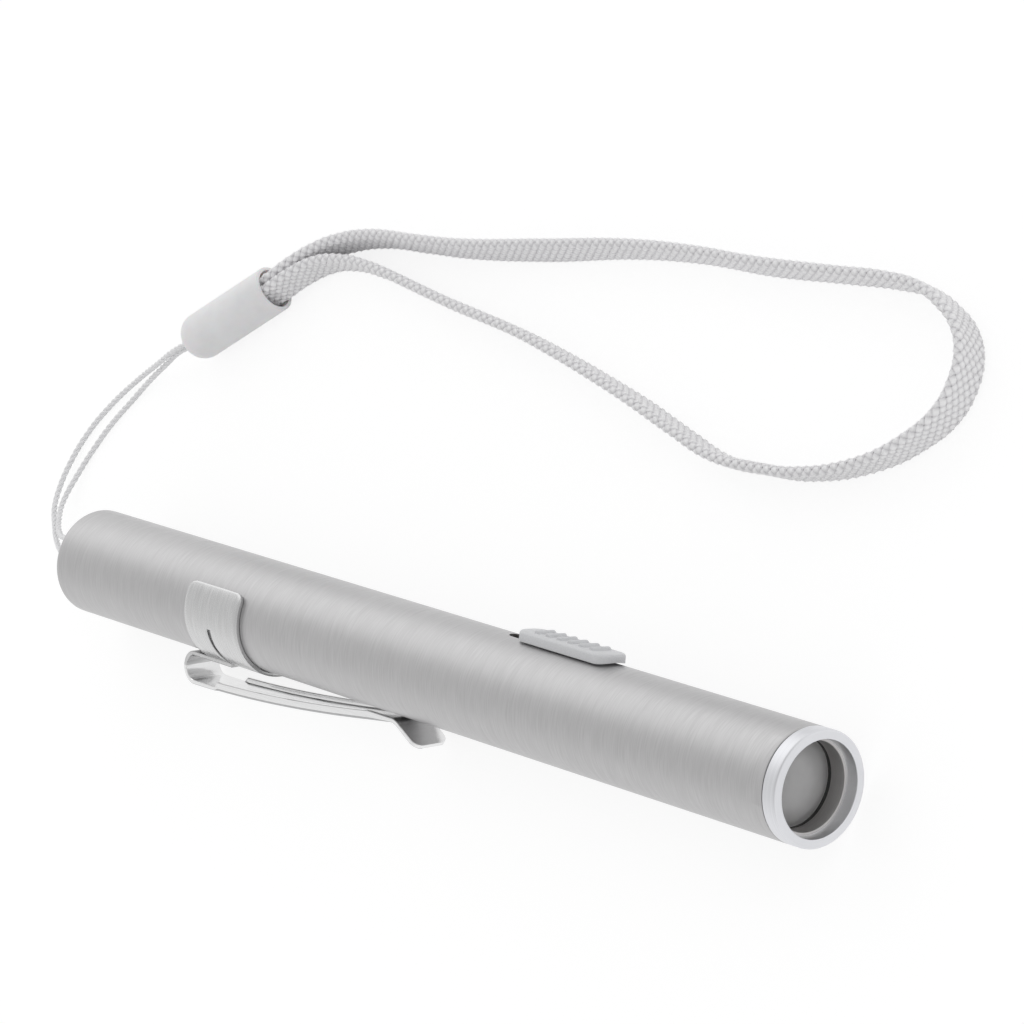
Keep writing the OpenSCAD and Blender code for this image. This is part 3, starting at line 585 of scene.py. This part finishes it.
def banded(material, edges, colours):
    """Colours by place along the pen: each edge in mm starts the next colour"""
    tree = material.node_tree
    place = new_node(tree, "ShaderNodeTexCoord")
    parts = new_node(tree, "ShaderNodeSeparateXYZ", {0: place.outputs["Object"]})
    low, high = edges[0] - 1, edges[-1] + 1
    ramp = new_node(tree, "ShaderNodeValToRGB", {
        "Fac": span(parts.outputs["X"], low / 1000, high / 1000, 0.0, 1.0)})
    stops = ramp.color_ramp.elements
    ramp.color_ramp.interpolation = "CONSTANT"
    stops[0].color = (*colours[0], 1)
    stops[1].position, stops[1].color = (edges[0] - low) / (high - low), (*colours[1], 1)
    for edge, colour in zip(edges[1:], colours[2:]):
        stops.new((edge - low) / (high - low)).color = (*colour, 1)
    return ramp.outputs["Color"]


def speckle(material, colour, source, amount):
    """Darkens a colour a little by a pattern"""
    drive(material, "Base Color", vector("MULTIPLY", colour, span(source, 0.3, 0.7, 1 - amount, 1.0)))


can_steel, jacket_low, jacket_high = (0.7, 0.7, 0.7), (0.16, 0.19, 0.24), (0.5, 0.42, 0.2)
jacket_start, jacket_change, jacket_end = 0.8, 34, 42.8
for cell, rear_x in (("rear_cell", -51.5), ("front_cell", -7.0)):
    cell_wrap = new_finish("cell_wrap_" + cell, (0.3, 0.32, 0.36), 0.3, 0.6)
    jacket_edges = [rear_x + jacket_start, rear_x + jacket_change, rear_x + jacket_end]
    jacket = banded(cell_wrap, jacket_edges, [can_steel, jacket_low, jacket_high, can_steel])
    shrink = grain(cell_wrap, (2, 1.2, 1.2), 3)
    speckle(cell_wrap, jacket, shrink, 0.12)
    roughen(cell_wrap, shrink, 0.22, 0.38)
    emboss(cell_wrap, shrink, 0.02, 0.3)
    paint(nodes[cell], cell_wrap)
paint(nodes["battery_sleeve"], grained(
    "sleeve_film", (0.03, 0.03, 0.032), 0.45, 0.0, size=(3, 0.5, 0.5), detail=4,
    shades=((0.022, 0.022, 0.024), (0.042, 0.042, 0.045)), dull=(0.4, 0.6), relief=0.01, strength=0.4))


# Front contacts. A moulded insulator carries a brass stud that meets the front cell and a brass
# ring that the slide's strip wipes on.
paint(nodes["contact_holder"], grained(
    "insulator_plastic", (0.04, 0.04, 0.045), 0.5, 0.0, size=(0.25, 0.25, 0.25),
    shades=((0.03, 0.03, 0.033), (0.055, 0.055, 0.06)), dull=(0.42, 0.6), relief=0.01))
contact_brass = grained(
    "contact_brass", (0.75, 0.53, 0.22), 0.25, 1.0, size=(4, 0.1, 0.1),
    shades=((0.66, 0.45, 0.17), (0.8, 0.58, 0.26)), dull=(0.18, 0.36), relief=0.004)
for contact in ("contact_ring", "center_contact", "contact_strip"):
    paint(nodes[contact], contact_brass)


# Driver board. Glass-fibre board with green mask and four small parts soldered on its rear face,
# seated in the back of the metal holder.
board_parts_x, board_rear_x = 45.4, 46.19
board_green = new_finish("board_green", (0.03, 0.16, 0.07), 0.35)
board_colours = banded(
    board_green, [board_parts_x, board_rear_x], [(0.02, 0.02, 0.02), (0.03, 0.03, 0.032), (0.03, 0.17, 0.075)])
board_weave = grain(board_green, (0.3, 0.3, 0.3), 2)
speckle(board_green, board_colours, board_weave, 0.3)
roughen(board_green, board_weave, 0.28, 0.45)
emboss(board_green, board_weave, 0.008)
paint(nodes["driver_board"], board_green)


# Holder, leads and light source. An aluminium slug takes the heat from the emitter's white board,
# and two insulated leads run through it. The emitter is a ceramic base under a silicone dome.
paint(nodes["led_holder"], turned_aluminium)
paint(nodes["led_leads"], grained(
    "lead_insulation", (0.5, 0.03, 0.03), 0.4, 0.0, size=(0.6, 0.2, 0.2),
    shades=((0.42, 0.02, 0.02), (0.56, 0.05, 0.04)), dull=(0.32, 0.5), relief=0.006))
paint(nodes["led_board"], grained(
    "board_white", (0.8, 0.8, 0.78), 0.4, 0.0, size=(0.8, 0.8, 0.8),
    shades=((0.74, 0.74, 0.72), (0.84, 0.84, 0.82)), dull=(0.32, 0.48), relief=0.006))
base_rear_x, base_front_x = 53.6, 54.22
emitter_dome = new_finish("emitter_dome", (0.8, 0.72, 0.35), 0.12, Coat_Weight=0.6)
emitter_colours = banded(
    emitter_dome, [base_rear_x, base_front_x], [(0.75, 0.75, 0.73), (0.78, 0.78, 0.76), (0.78, 0.7, 0.38)])
phosphor = grain(emitter_dome, (0.2, 0.2, 0.2), 3)
speckle(emitter_dome, emitter_colours, phosphor, 0.08)
roughen(emitter_dome, phosphor, 0.1, 0.2)
emboss(emitter_dome, phosphor, 0.002)
paint(nodes["led_emitter"], emitter_dome)


# Reflector. Moulded cup with a vacuum-metallised parabola inside, sitting on the emitter's board.
# The bezel, screwed down, holds it there through the lens.
paint(nodes["reflector"], grained(
    "mirror_cup", (0.8, 0.8, 0.81), 0.12, 1.0, size=(0.7, 0.7, 0.7), detail=2,
    shades=((0.74, 0.74, 0.75), (0.84, 0.84, 0.85)), dull=(0.08, 0.18), relief=0.004))


# Lens and gasket. A convex lens of moulded clear acrylic with a flat back and a flange, held
# against a flat rubber ring by the bezel's lip.
lens_back_x, lens_flange_r, lens_flange_t, lens_edge, dome_r, dome_h = 61.1, 5.2, 1.2, 0.1, 4.9, 1.4
dome_ball_r = (dome_r ** 2 + dome_h ** 2) / (2 * dome_h)
flange_front_x, flange_edge_r = lens_back_x + lens_flange_t, lens_flange_r - lens_edge
dome_top_x, dome_half = flange_front_x + dome_h, math.degrees(math.asin(dome_r / dome_ball_r))
lens_outline = [(lens_back_x, r) for r in spread(0, lens_flange_r, 8)[:-1]]
lens_outline += arc(lens_back_x + lens_edge, flange_edge_r, lens_edge, 180, 90, 3)
lens_outline += arc(flange_front_x - lens_edge, flange_edge_r, lens_edge, 90, 0, 3)
lens_outline += arc(dome_top_x - dome_ball_r, 0, dome_ball_r, dome_half, 0, 20)[:-1]
lens_outline += [(dome_top_x, 0)]
lens = lathe("lens_dome", lens_outline, 128, place=on_pen)
smooth(lens, 25)
paint(lens, grained(
    "lens_clear", (0.85, 0.845, 0.84), 0.24, 0.0, size=(3, 2.5, 2.5), detail=2,
    shades=((0.71, 0.705, 0.705), (0.78, 0.775, 0.775)), dull=(0.2, 0.26), relief=0.001, strength=0.1,
    IOR=1.49, Transmission_Weight=0.55))
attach(lens, "lens_unit")
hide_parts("lens")
paint(nodes["lens_gasket"], grained(
    "gasket_rubber", (0.03, 0.03, 0.03), 0.7, 0.0, size=(0.3, 0.3, 0.3),
    shades=((0.022, 0.022, 0.022), (0.045, 0.044, 0.043)), dull=(0.6, 0.8), relief=0.01))


# Bezel. Aluminium ring turned with a front recess, a lip that holds the lens, and a skirt with a
# fine right-hand thread that screws into the tube.
head_x, head_round, recess_r, recess_flare = 66.5, 0.3, 5.3, ((0.5, 0.08), (1.0, 0.03))
lip_r, lip_front_x, lip_back_x, lip_round, lip_step = 5.0, 64.9, 62.8, 0.08, 0.02
lip_ring_x, pocket_ring_x = 64.3, 60.6
mouth_r, mouth_round, skirt_end_x, thread_end_x, thread_fade = 5.4, 0.12, 58.4, 63.6, 0.5
thread_root_r, thread_depth, thread_pitch, thread_flat, thread_flank = 5.62, 0.33, 0.75, 0.1, 0.75
groove_r, groove_w, groove_break, rim_run, face_rings = 6.15, 0.14, 0.06, 1.6, (6.0, 5.7)


def threaded(x, r, turn):
    """The radius of the skirt's thread at a place along it and a share of a turn round it"""
    if abs(r - thread_root_r) > 0.001:
        return r
    run_out = min(1, max(0, (x - skirt_end_x) / thread_fade), max(0, (thread_end_x - x) / thread_fade))
    wave = abs(((x / thread_pitch - turn) % 1) * 2 - 1)
    return r + thread_depth * run_out * min(1, max(0, (wave - thread_flat) / thread_flank))


groove_x, rim_x = seam_x + groove_w, seam_x + groove_w + groove_break
bezel_outline = [(x, thread_root_r) for x in spread(skirt_end_x, thread_end_x, 104)]
bezel_outline += [(seam_x, thread_root_r), (seam_x, groove_r), (groove_x, groove_r)]
bezel_outline += [(groove_x, body_r - groove_break)]
bezel_outline += [(x, body_r) for x in spread(rim_x, rim_x + rim_run, 6)[:-1]]
bezel_outline += arc(head_x - head_round, body_r - head_round, head_round, 90, 0, 6)
bezel_outline += [(head_x, r) for r in face_rings]
bezel_outline += arc(head_x - mouth_round, mouth_r + mouth_round, mouth_round, 0, -80, 4)
bezel_outline += [(head_x - deep, recess_r + wider) for deep, wider in recess_flare] + [(lip_front_x, recess_r)]
bezel_outline += arc(lip_front_x - lip_round, lip_r + lip_round, lip_round, 0, -90, 3)
bezel_outline += [(x, lip_r) for x in (lip_ring_x, lip_back_x)]
bezel_outline += [(x, recess_r) for x in (lip_back_x, pocket_ring_x, skirt_end_x)]
bezel = lathe("bezel_ring_turned", bezel_outline, 144, threaded, on_pen)
settle(bezel)
lathe_lines = (0.08, 10, 10)
bezel_metal = grained(
    "bezel_metal", (0.74, 0.745, 0.77), 0.42, 1.0, size=lathe_lines,
    shades=((0.7, 0.705, 0.73), (0.79, 0.795, 0.82)), dull=(0.38, 0.48), relief=0.004, strength=0.4,
    Anisotropic=0.2)
brushed(bezel_metal)
# The recess wall takes a lighter copy of the bezel's metal as a painted highlight. The lip's step and bore take a
# darker copy as painted shade inside the recess.
bezel_painted_highlight = grained(
    "bezel_painted_highlight", (0.95, 0.955, 0.975), 0.34, 1.0, size=lathe_lines,
    shades=((0.93, 0.935, 0.955), (0.97, 0.975, 0.995)), dull=(0.3, 0.38))
bezel_painted_shade = grained(
    "bezel_painted_shade", (0.5, 0.49, 0.485), 0.4, 1.0, size=lathe_lines,
    shades=((0.46, 0.45, 0.445), (0.56, 0.55, 0.545)), dull=(0.34, 0.46))
paint(bezel, bezel_metal, bezel_painted_highlight, bezel_painted_shade)
# Faces inside the mouth get the painted highlight on the recess wall and painted shade on the lip's step and bore.
for face in bezel.data.polygons:
    middle = on_pen.inverted() @ face.center
    if lip_back_x < middle.x and math.hypot(middle.y, middle.z) < mouth_r:
        face.material_index = 1 if middle.x > lip_front_x + lip_step else 2
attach(bezel, "bezel_ring")
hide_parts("bezel")


# Slide. Moulded pale plastic cap with six finger ribs, hollowed below to clear the tube and standing
# over the slot on a neck. Two posts under the neck are headed over into the brass contact strip.
slider_x, slider_half_len, slider_half_w, slider_corner = 24.7, 7.75, 2.1, 1.6
cap_low, cap_seat_r, cap_top, cap_edge, hollow_half_len = 6.2, 6.75, 7.65, 0.4, 9
rib_count, rib_pitch, rib_r, rib_half, rib_top = 6, 1.9, 0.475, 1.3, 8.0
neck_half_len, neck_half_w, neck_low, neck_in = 5.75, 0.8, 5.92, 0.3
post_low, post_len, post_r, post_x = 5.6, 0.5, 0.6, 4.6


def rounded_plan(half_len, half_w, corner, inset, y):
    """Points of a rounded rectangle in plan, drawn in by an inset, at a height"""
    loop = []
    for sx, sz, first in ((1, 1, 0), (-1, 1, 90), (-1, -1, 180), (1, -1, 270)):
        middle_x, middle_z = slider_x + sx * (half_len - corner), sz * (half_w - corner)
        loop += [(x, y, z) for x, z in arc(middle_x, middle_z, corner - inset, first, first + 90, 8)]
    return loop


def stacked(name, loops):
    """A closed solid through a stack of outlines of the same number of points"""
    shape = bmesh.new()
    skin(shape, [[shape.verts.new(p) for p in loop] for loop in loops])
    made = piece_from(name, shape, slide_side)
    smooth(made, 40)
    return made


cap_loops = [rounded_plan(slider_half_len, slider_half_w, slider_corner, 0, cap_low)]
for inset, height in arc(cap_edge, cap_top - cap_edge, cap_edge, 180, 90, 8):
    cap_loops.append(rounded_plan(slider_half_len, slider_half_w, slider_corner, inset, height))
slider = stacked("slide_cap", cap_loops)
hollow_ends = (slider_x - hollow_half_len, slider_x + hollow_half_len)
hollow = [(hollow_ends[0], 0), *((x, cap_seat_r) for x in hollow_ends), (hollow_ends[1], 0)]
cut_away(slider, lathe("slide_hollow", hollow, place=slide_side))
soften(slider, 0.08)
neck_heights = (neck_low, cap_seat_r + neck_in)
neck = stacked("slide_neck", [rounded_plan(neck_half_len, neck_half_w, neck_half_w, 0, y) for y in neck_heights])
post_lines = [ring(slider_x + side * post_x, 0, post_r, 24) for side in (-1, 1)]
posts = [prism("slide_post", [(x, post_low, z) for x, z in line], (0, post_len, 0), slide_side)
         for line in post_lines]
slide_plastic = grained(
    "slide_plastic", (0.76, 0.765, 0.78), 0.42, 0.0, size=(0.18, 0.18, 0.18),
    shades=((0.64, 0.645, 0.66), (0.71, 0.715, 0.73)), dull=(0.36, 0.52), relief=0.012, strength=0.4)
rib_sizes = {"Ribs": rib_count, "Spacing": rib_pitch / 1000, "Radius": rib_r / 1000, "Length": rib_half / 500}
rib_tree, rib_in = new_tree("finger_ribs", rib_sizes)
rib_row_len = calc("MULTIPLY", calc("ADD", rib_in["Ribs"], -1.0), rib_in["Spacing"])
first_place = new_node(rib_tree, "ShaderNodeCombineXYZ", {"X": calc("MULTIPLY", rib_row_len, -0.5)})
rib_step = new_node(rib_tree, "ShaderNodeCombineXYZ", {"X": rib_in["Spacing"]})
rib_row = new_node(rib_tree, "GeometryNodeMeshLine", {
    "Count": rib_in["Ribs"], "Start Location": first_place.outputs[0], "Offset": rib_step.outputs[0]})
rib_rod = new_node(rib_tree, "GeometryNodeMeshCylinder", {
    "Vertices": 24, "Radius": rib_in["Radius"], "Depth": rib_in["Length"]})
ribs = new_node(rib_tree, "GeometryNodeInstanceOnPoints", {
    "Points": rib_row.outputs[0], "Instance": rib_rod.outputs["Mesh"]})
end_tree(ribs.outputs[0], slide_plastic)
rib_piece = grown("slide_ribs", bpy.data.meshes.new("rib_start"), rib_tree, rib_sizes)
rib_place = Matrix.Translation((slider_x, rib_top - rib_r, 0))
rib_piece.data.transform(slide_side @ rib_place @ Matrix.Scale(1000, 4))
soften(rib_piece, 0.1, 3)
join(slider, neck, *posts, rib_piece)
paint(slider, slide_plastic)
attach(slider, "switch_slide")
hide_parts("slider_button")


# Thin cord. Three plies of polyester laid into one string, threaded in at one of the tail's holes
# and out at the other, with both ends held in the ferrule.
string_route = [
    (-65.7, 32.8, 3.42), (-68.1, 31, 3.42), (-70.7, 29.5, 3.2), (-74.2, 27.6, 2.2), (-79, 24.9, 0.9),
    (-82.9, 21.4, 0.4), (-85.6, 17.3, 0.4), (-87, 12.7, 0.6), (-87, 9.3, 0.9), (-85.9, 6.6, 1.5),
    (-83.4, 4.1, 2.3), (-79.6, 1.8, 3.6), (-75, 0.4, 5), (-71, -0.1, 5.7), (-67.5, -0.2, 5.9),
    (-65.5, -0.2, 5.9), (-64.4, 0.1, 6), (-63.9, 1.3, 6.5), (-64.4, 2.4, 7), (-65.5, 2.7, 7.1),
    (-67.5, 2.7, 7.1), (-71, 2.7, 6.9), (-75, 2.7, 6), (-78.8, 3.1, 4.4), (-82.3, 5.1, 2.8),
    (-84.4, 7.6, 1.5), (-84.6, 11, 0.7), (-83.6, 14.8, 0.4), (-81.8, 18.5, 0.4), (-79.3, 22.2, 0.4),
    (-76.5, 25.4, 0.8), (-73.7, 27.65, 1.45), (-70.8, 29.5, 2.33), (-68.1, 31, 2.58), (-65.7, 32.8, 2.58)]


def route_curve(name, route, leans=None):
    """A smooth curve through a route given in mm, with the lean of what lies on it in degrees"""
    curve = bpy.data.curves.new(name, "CURVE")
    curve.dimensions, curve.resolution_u = "3D", 12
    line = curve.splines.new("BEZIER")
    line.bezier_points.add(len(route) - 1)
    for point, place, lean in zip(line.bezier_points, route, leans or [0] * len(route)):
        point.co, point.tilt = Vector(place) / 1000, math.radians(lean)
        point.handle_left_type = point.handle_right_type = "AUTO"
    return curve


def middle_line(name, route):
    """The points down the middle of a route's curve, in metres"""
    bare = add(name, route_curve(name, route))
    points = [tuple(v.co) for v in plain_mesh(bare).vertices]
    bpy.data.objects.remove(bare)
    return points


def square_to(tree):
    """The two directions square to a curve in a tree: the level one, and the one that points up"""
    heading = new_node(tree, "GeometryNodeInputTangent").outputs[0]
    level = vector("NORMALIZE", vector("CROSS_PRODUCT", (0.0, 0.0, 1.0), heading))
    return level, vector("CROSS_PRODUCT", heading, level)


def mixed(one, share, two, other_share):
    """The sum of two directions, each by its own share"""
    return vector("ADD", vector("SCALE", one, share), vector("SCALE", two, other_share))


string_cord = grained(
    "string_cord", (0.88, 0.88, 0.89), 0.6, 0.0, size=(0.12, 0.12, 0.12),
    shades=((0.84, 0.84, 0.85), (0.92, 0.92, 0.93)), dull=(0.5, 0.7), relief=0.01,
    Sheen_Weight=0.3, Sheen_Roughness=0.4)
string_sizes = {"Plies": 3, "Ply radius": 0.000185, "Lay radius": 0.00019, "Lay length": 0.0026, "Step": 0.00013}
string_tree, string_in = new_tree("laid_string", string_sizes)
spaced = new_node(string_tree, "GeometryNodeResampleCurve", {
    "Curve": string_in["Start"], "Length": string_in["Step"]}, mode="LENGTH")
plies = new_node(string_tree, "GeometryNodeDuplicateElements", {
    "Geometry": spaced.outputs[0], "Amount": string_in["Plies"]}, domain="SPLINE")
run = new_node(string_tree, "GeometryNodeSplineParameter")
lay_turn = calc("DIVIDE", run.outputs["Length"], string_in["Lay length"])
ply_share = calc("DIVIDE", plies.outputs["Duplicate Index"], string_in["Plies"])
lay_angle = calc("MULTIPLY", calc("ADD", lay_turn, ply_share), 2 * math.pi)
level, upright = square_to(string_tree)
ply_side = calc("MULTIPLY", calc("COSINE", lay_angle), string_in["Lay radius"])
ply_up = calc("MULTIPLY", calc("SINE", lay_angle), string_in["Lay radius"])
laid = new_node(string_tree, "GeometryNodeSetPosition", {
    "Geometry": plies.outputs[0], "Offset": mixed(level, ply_side, upright, ply_up)})
ply_round = new_node(string_tree, "GeometryNodeCurvePrimitiveCircle", {
    "Resolution": 7, "Radius": string_in["Ply radius"]})
end_tree(drawn(laid.outputs[0], ply_round.outputs[0]), string_cord)
string = grown("lanyard_string_laid", route_curve("string_start", string_route), string_tree, string_sizes)
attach(string, "penlight_body")
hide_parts("lanyard_string")
middle_line("string_line", string_route)


# Ferrule. Moulded bullet of pale plastic with a round nose. The thin cord goes in through the nose
# and the strap's two ends are glued in the round socket at its mouth.
ferrule_len, ferrule_r, ferrule_nose, mouth_edge = 15.6, 3.0, 2.4, 0.15
socket_deep, socket_r, string_hole_r, nose_ring_r, mouth_ring_r = 12.0, 2.54, 0.95, 0.3, 1.2
ferrule_end, ferrule_turn = (-0.0681, 0.031, 0.003), math.radians(36.5)
on_ferrule = Matrix.Translation(ferrule_end) @ Matrix.Rotation(ferrule_turn, 4, "Z") @ Matrix.Scale(0.001, 4)
ferrule_outline = [(0, 0), (0, nose_ring_r)]
ferrule_outline += arc(ferrule_nose, ferrule_r - ferrule_nose, ferrule_nose, 180, 90, 14)
ferrule_outline += [(x, ferrule_r) for x in spread(ferrule_nose, ferrule_len - mouth_edge, 16)[1:-1]]
ferrule_outline += arc(ferrule_len - mouth_edge, ferrule_r - mouth_edge, mouth_edge, 90, 0, 5)
ferrule_outline += [(ferrule_len, mouth_ring_r), (ferrule_len, 0)]
ferrule = lathe("lanyard_ferrule_bullet", ferrule_outline, 96, place=on_ferrule)
socket_floor_x = ferrule_len - socket_deep
socket_line = [(socket_floor_x, y, z) for y, z in ring(0, 0, socket_r, 96)]
string_hole_line = [(-cut_past, y, z) for y, z in ring(0, 0, string_hole_r, 24)]
cut_away(ferrule, prism("socket_cutter", socket_line, (socket_deep + cut_past, 0, 0), on_ferrule),
         prism("string_cutter", string_hole_line, (ferrule_len, 0, 0), on_ferrule))
soften(ferrule, 0.12, 3)
ferrule_plastic = grained(
    "ferrule_plastic", (0.85, 0.84, 0.85), 0.4, 0.0, size=(2.5, 2.5, 2.5), detail=4,
    shades=((0.82, 0.81, 0.82), (0.88, 0.87, 0.88)), dull=(0.36, 0.48),
    Subsurface_Weight=0.15, Subsurface_Scale=0.001)
emboss(ferrule_plastic, grain(ferrule_plastic, (0.2, 0.2, 0.2), 3), 0.008, 0.3)
paint(ferrule, ferrule_plastic)
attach(ferrule, "penlight_body")
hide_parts("lanyard_ferrule")


# Wrist strap. Flat tubular braid of eighteen soft yarns, nine laid each way, over and under one
# another. It stands on its edge in one open loop, with both ends glued in the ferrule.
strap_z = 2.3
strap_route = [(-61.25, 36.88, 3), (-55.96, 40.82, 3), (-53, 43.6, 2.8), (-50, 46, 2.45)]
strap_route += [(x, y, strap_z) for x, y in (
    (-46, 47.9), (-40, 49.3), (-32, 49.8), (-24, 50.3), (-10, 52.1), (5, 54.4), (16, 55.3), (27, 55.5),
    (39.5, 56.3), (47.5, 56.8), (52.5, 56.6), (56.6, 55.3), (60.3, 53.1), (62.2, 50.4), (62.7, 47.2),
    (61.8, 43.7), (58.5, 40), (53, 36.5), (44, 33.75), (37.7, 33.25), (30.8, 33.2), (23, 35), (15, 37.1),
    (6.5, 39), (-1, 40.5), (-8.6, 41.8), (-16, 42.7), (-23.3, 43.5), (-30.6, 44.5), (-38.3, 45.5), (-44, 45.6))]
strap_route += [(-48.7, 44.6, 2.4), (-52.1, 42.4, 2.8), (-55.16, 39.74, 3), (-60.48, 35.83, 3)]
strap_leans = [0, 0, 0, 0, 2, 4, 4.5, 6, 10.5, 5, 2.5, 3.5, 0.5, 1, 0, 0, -2, -3, -3, 0,
               4, 8, 8, 9, 5, 5, 5.5, 3, 1.5, 0, 0, -1, -1.5, -1, 0, 0, 0, 0, 0]
strap_braid = new_finish("strap_braid", (0.7, 0.7, 0.69), 0.55, Sheen_Weight=0.4, Sheen_Roughness=0.35)
# Each yarn is painted darker where it dips under its neighbours and lighter on its crests: painted shade in the
# weave.
height_in_weave = new_node(strap_braid.node_tree, "ShaderNodeAttribute", attribute_name="lift")
tint(strap_braid, height_in_weave.outputs["Fac"], (0.66, 0.65, 0.67), (0.98, 0.975, 0.985), 0.28, 0.85)
braid_fibre = grain(strap_braid, (0.1, 0.1, 0.1), 3)
roughen(strap_braid, braid_fibre, 0.45, 0.65)
emboss(strap_braid, braid_fibre, 0.02, 0.5)
strap_sizes = {"Yarns each way": 9, "Flat": 0.0033, "Edge radius": 0.00036, "Lift": 0.00012,
               "Stitch length": 0.00125, "Yarn width": 0.00079, "Yarn thickness": 0.00034}
strap_tree, strap_in = new_tree("flat_braid", strap_sizes)
flat, edge_r, yarn_count = strap_in["Flat"], strap_in["Edge radius"], strap_in["Yarns each way"]
strap_length = new_node(strap_tree, "GeometryNodeCurveLength", {"Curve": strap_in["Start"]}).outputs[0]
stitches = calc("ROUND", calc("DIVIDE", strap_length, strap_in["Stitch length"]))
points_per_stitch = 4.0
strap_line = new_node(strap_tree, "GeometryNodeResampleCurve", {
    "Curve": strap_in["Start"], "Count": calc("MULTIPLY_ADD", stitches, points_per_stitch, 1.0)}, mode="COUNT")
flat_side, sheer = square_to(strap_tree)
lean = new_node(strap_tree, "GeometryNodeInputNamedAttribute", {"Name": "tilt"}, data_type="FLOAT")
lean_side, lean_up = calc("SINE", lean.outputs["Attribute"]), calc("COSINE", lean.outputs["Attribute"])
level = mixed(flat_side, lean_up, sheer, calc("MULTIPLY", lean_side, -1.0))
upright = mixed(sheer, lean_up, flat_side, lean_side)
stitch = calc("MULTIPLY", new_node(strap_tree, "GeometryNodeSplineParameter").outputs["Factor"], stitches)
travelled = calc("DIVIDE", stitch, yarn_count)
half_round = calc("MULTIPLY", edge_r, math.pi)
half_way = calc("ADD", flat, half_round)
round_trip = calc("MULTIPLY", half_way, 2.0)
yarn_scale = new_node(strap_tree, "ShaderNodeCombineXYZ", {
    "X": calc("MULTIPLY", strap_in["Yarn thickness"], 0.5), "Y": calc("MULTIPLY", strap_in["Yarn width"], 0.5),
    "Z": 1.0})
yarn_round = new_node(strap_tree, "GeometryNodeCurvePrimitiveCircle", {"Resolution": 6, "Radius": 1.0})
yarn_section = new_node(strap_tree, "GeometryNodeTransform", {
    "Geometry": yarn_round.outputs[0], "Scale": yarn_scale.outputs[0]})
both_ways = new_node(strap_tree, "GeometryNodeJoinGeometry")
for way in (1.0, -1.0):
    yarns = new_node(strap_tree, "GeometryNodeDuplicateElements", {
        "Geometry": strap_line.outputs[0], "Amount": yarn_count}, domain="SPLINE")
    yarn_share = calc("DIVIDE", yarns.outputs["Duplicate Index"], yarn_count)
    round_share = calc("FRACT", calc("ADD", calc("MULTIPLY", travelled, way), yarn_share))
    gone = calc("MULTIPLY", round_share, round_trip)
    up_run = calc("MINIMUM", gone, flat)
    past_up = calc("MAXIMUM", calc("SUBTRACT", gone, flat), 0.0)
    top_turn = calc("DIVIDE", calc("MINIMUM", past_up, half_round), edge_r)
    past_top = calc("SUBTRACT", gone, half_way)
    down_run = calc("MINIMUM", calc("MAXIMUM", past_top, 0.0), flat)
    past_down = calc("MAXIMUM", calc("SUBTRACT", past_top, flat), 0.0)
    low_turn = calc("DIVIDE", past_down, edge_r)
    wave = calc("MULTIPLY", calc("COSINE", calc("MULTIPLY", stitch, 2 * math.pi)), way)
    out = calc("ADD", edge_r, calc("MULTIPLY", wave, strap_in["Lift"]))
    side_part = calc("COSINE", calc("ADD", top_turn, low_turn))
    up_part = calc("SUBTRACT", calc("SINE", top_turn), calc("SINE", low_turn))
    rise = calc("SUBTRACT", calc("SUBTRACT", up_run, down_run), calc("MULTIPLY", flat, 0.5))
    rise = calc("ADD", rise, calc("MULTIPLY", up_part, out))
    # The yarn's height in the weave is kept for the strap's painted shade.
    height = new_node(strap_tree, "GeometryNodeStoreNamedAttribute", {
        "Geometry": yarns.outputs[0], "Name": "lift", "Value": calc("MULTIPLY_ADD", wave, 0.5, 0.5)},
        data_type="FLOAT", domain="POINT")
    kept_out = new_node(strap_tree, "GeometryNodeStoreNamedAttribute", {
        "Geometry": height.outputs[0], "Name": "outward", "Value": mixed(level, side_part, upright, up_part)},
        data_type="FLOAT_VECTOR", domain="POINT")
    laid = new_node(strap_tree, "GeometryNodeSetPosition", {
        "Geometry": kept_out.outputs[0], "Offset": mixed(level, calc("MULTIPLY", side_part, out), upright, rise)})
    facing = new_node(
        strap_tree, "GeometryNodeInputNamedAttribute", {"Name": "outward"}, data_type="FLOAT_VECTOR")
    faced = new_node(strap_tree, "GeometryNodeSetCurveNormal", {"Curve": laid.outputs[0]}, mode="FREE")
    strap_tree.links.new(facing.outputs["Attribute"], faced.inputs["Normal"])
    strap_tree.links.new(drawn(faced.outputs[0], yarn_section.outputs[0]), both_ways.inputs[0])
end_tree(both_ways.outputs[0], strap_braid)
strap_start = route_curve("strap_start", strap_route, strap_leans)
strap = grown("wrist_strap_braid", strap_start, strap_tree, strap_sizes)
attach(strap, "penlight_body")
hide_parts("wrist_strap")
middle_line("strap_line", strap_route)
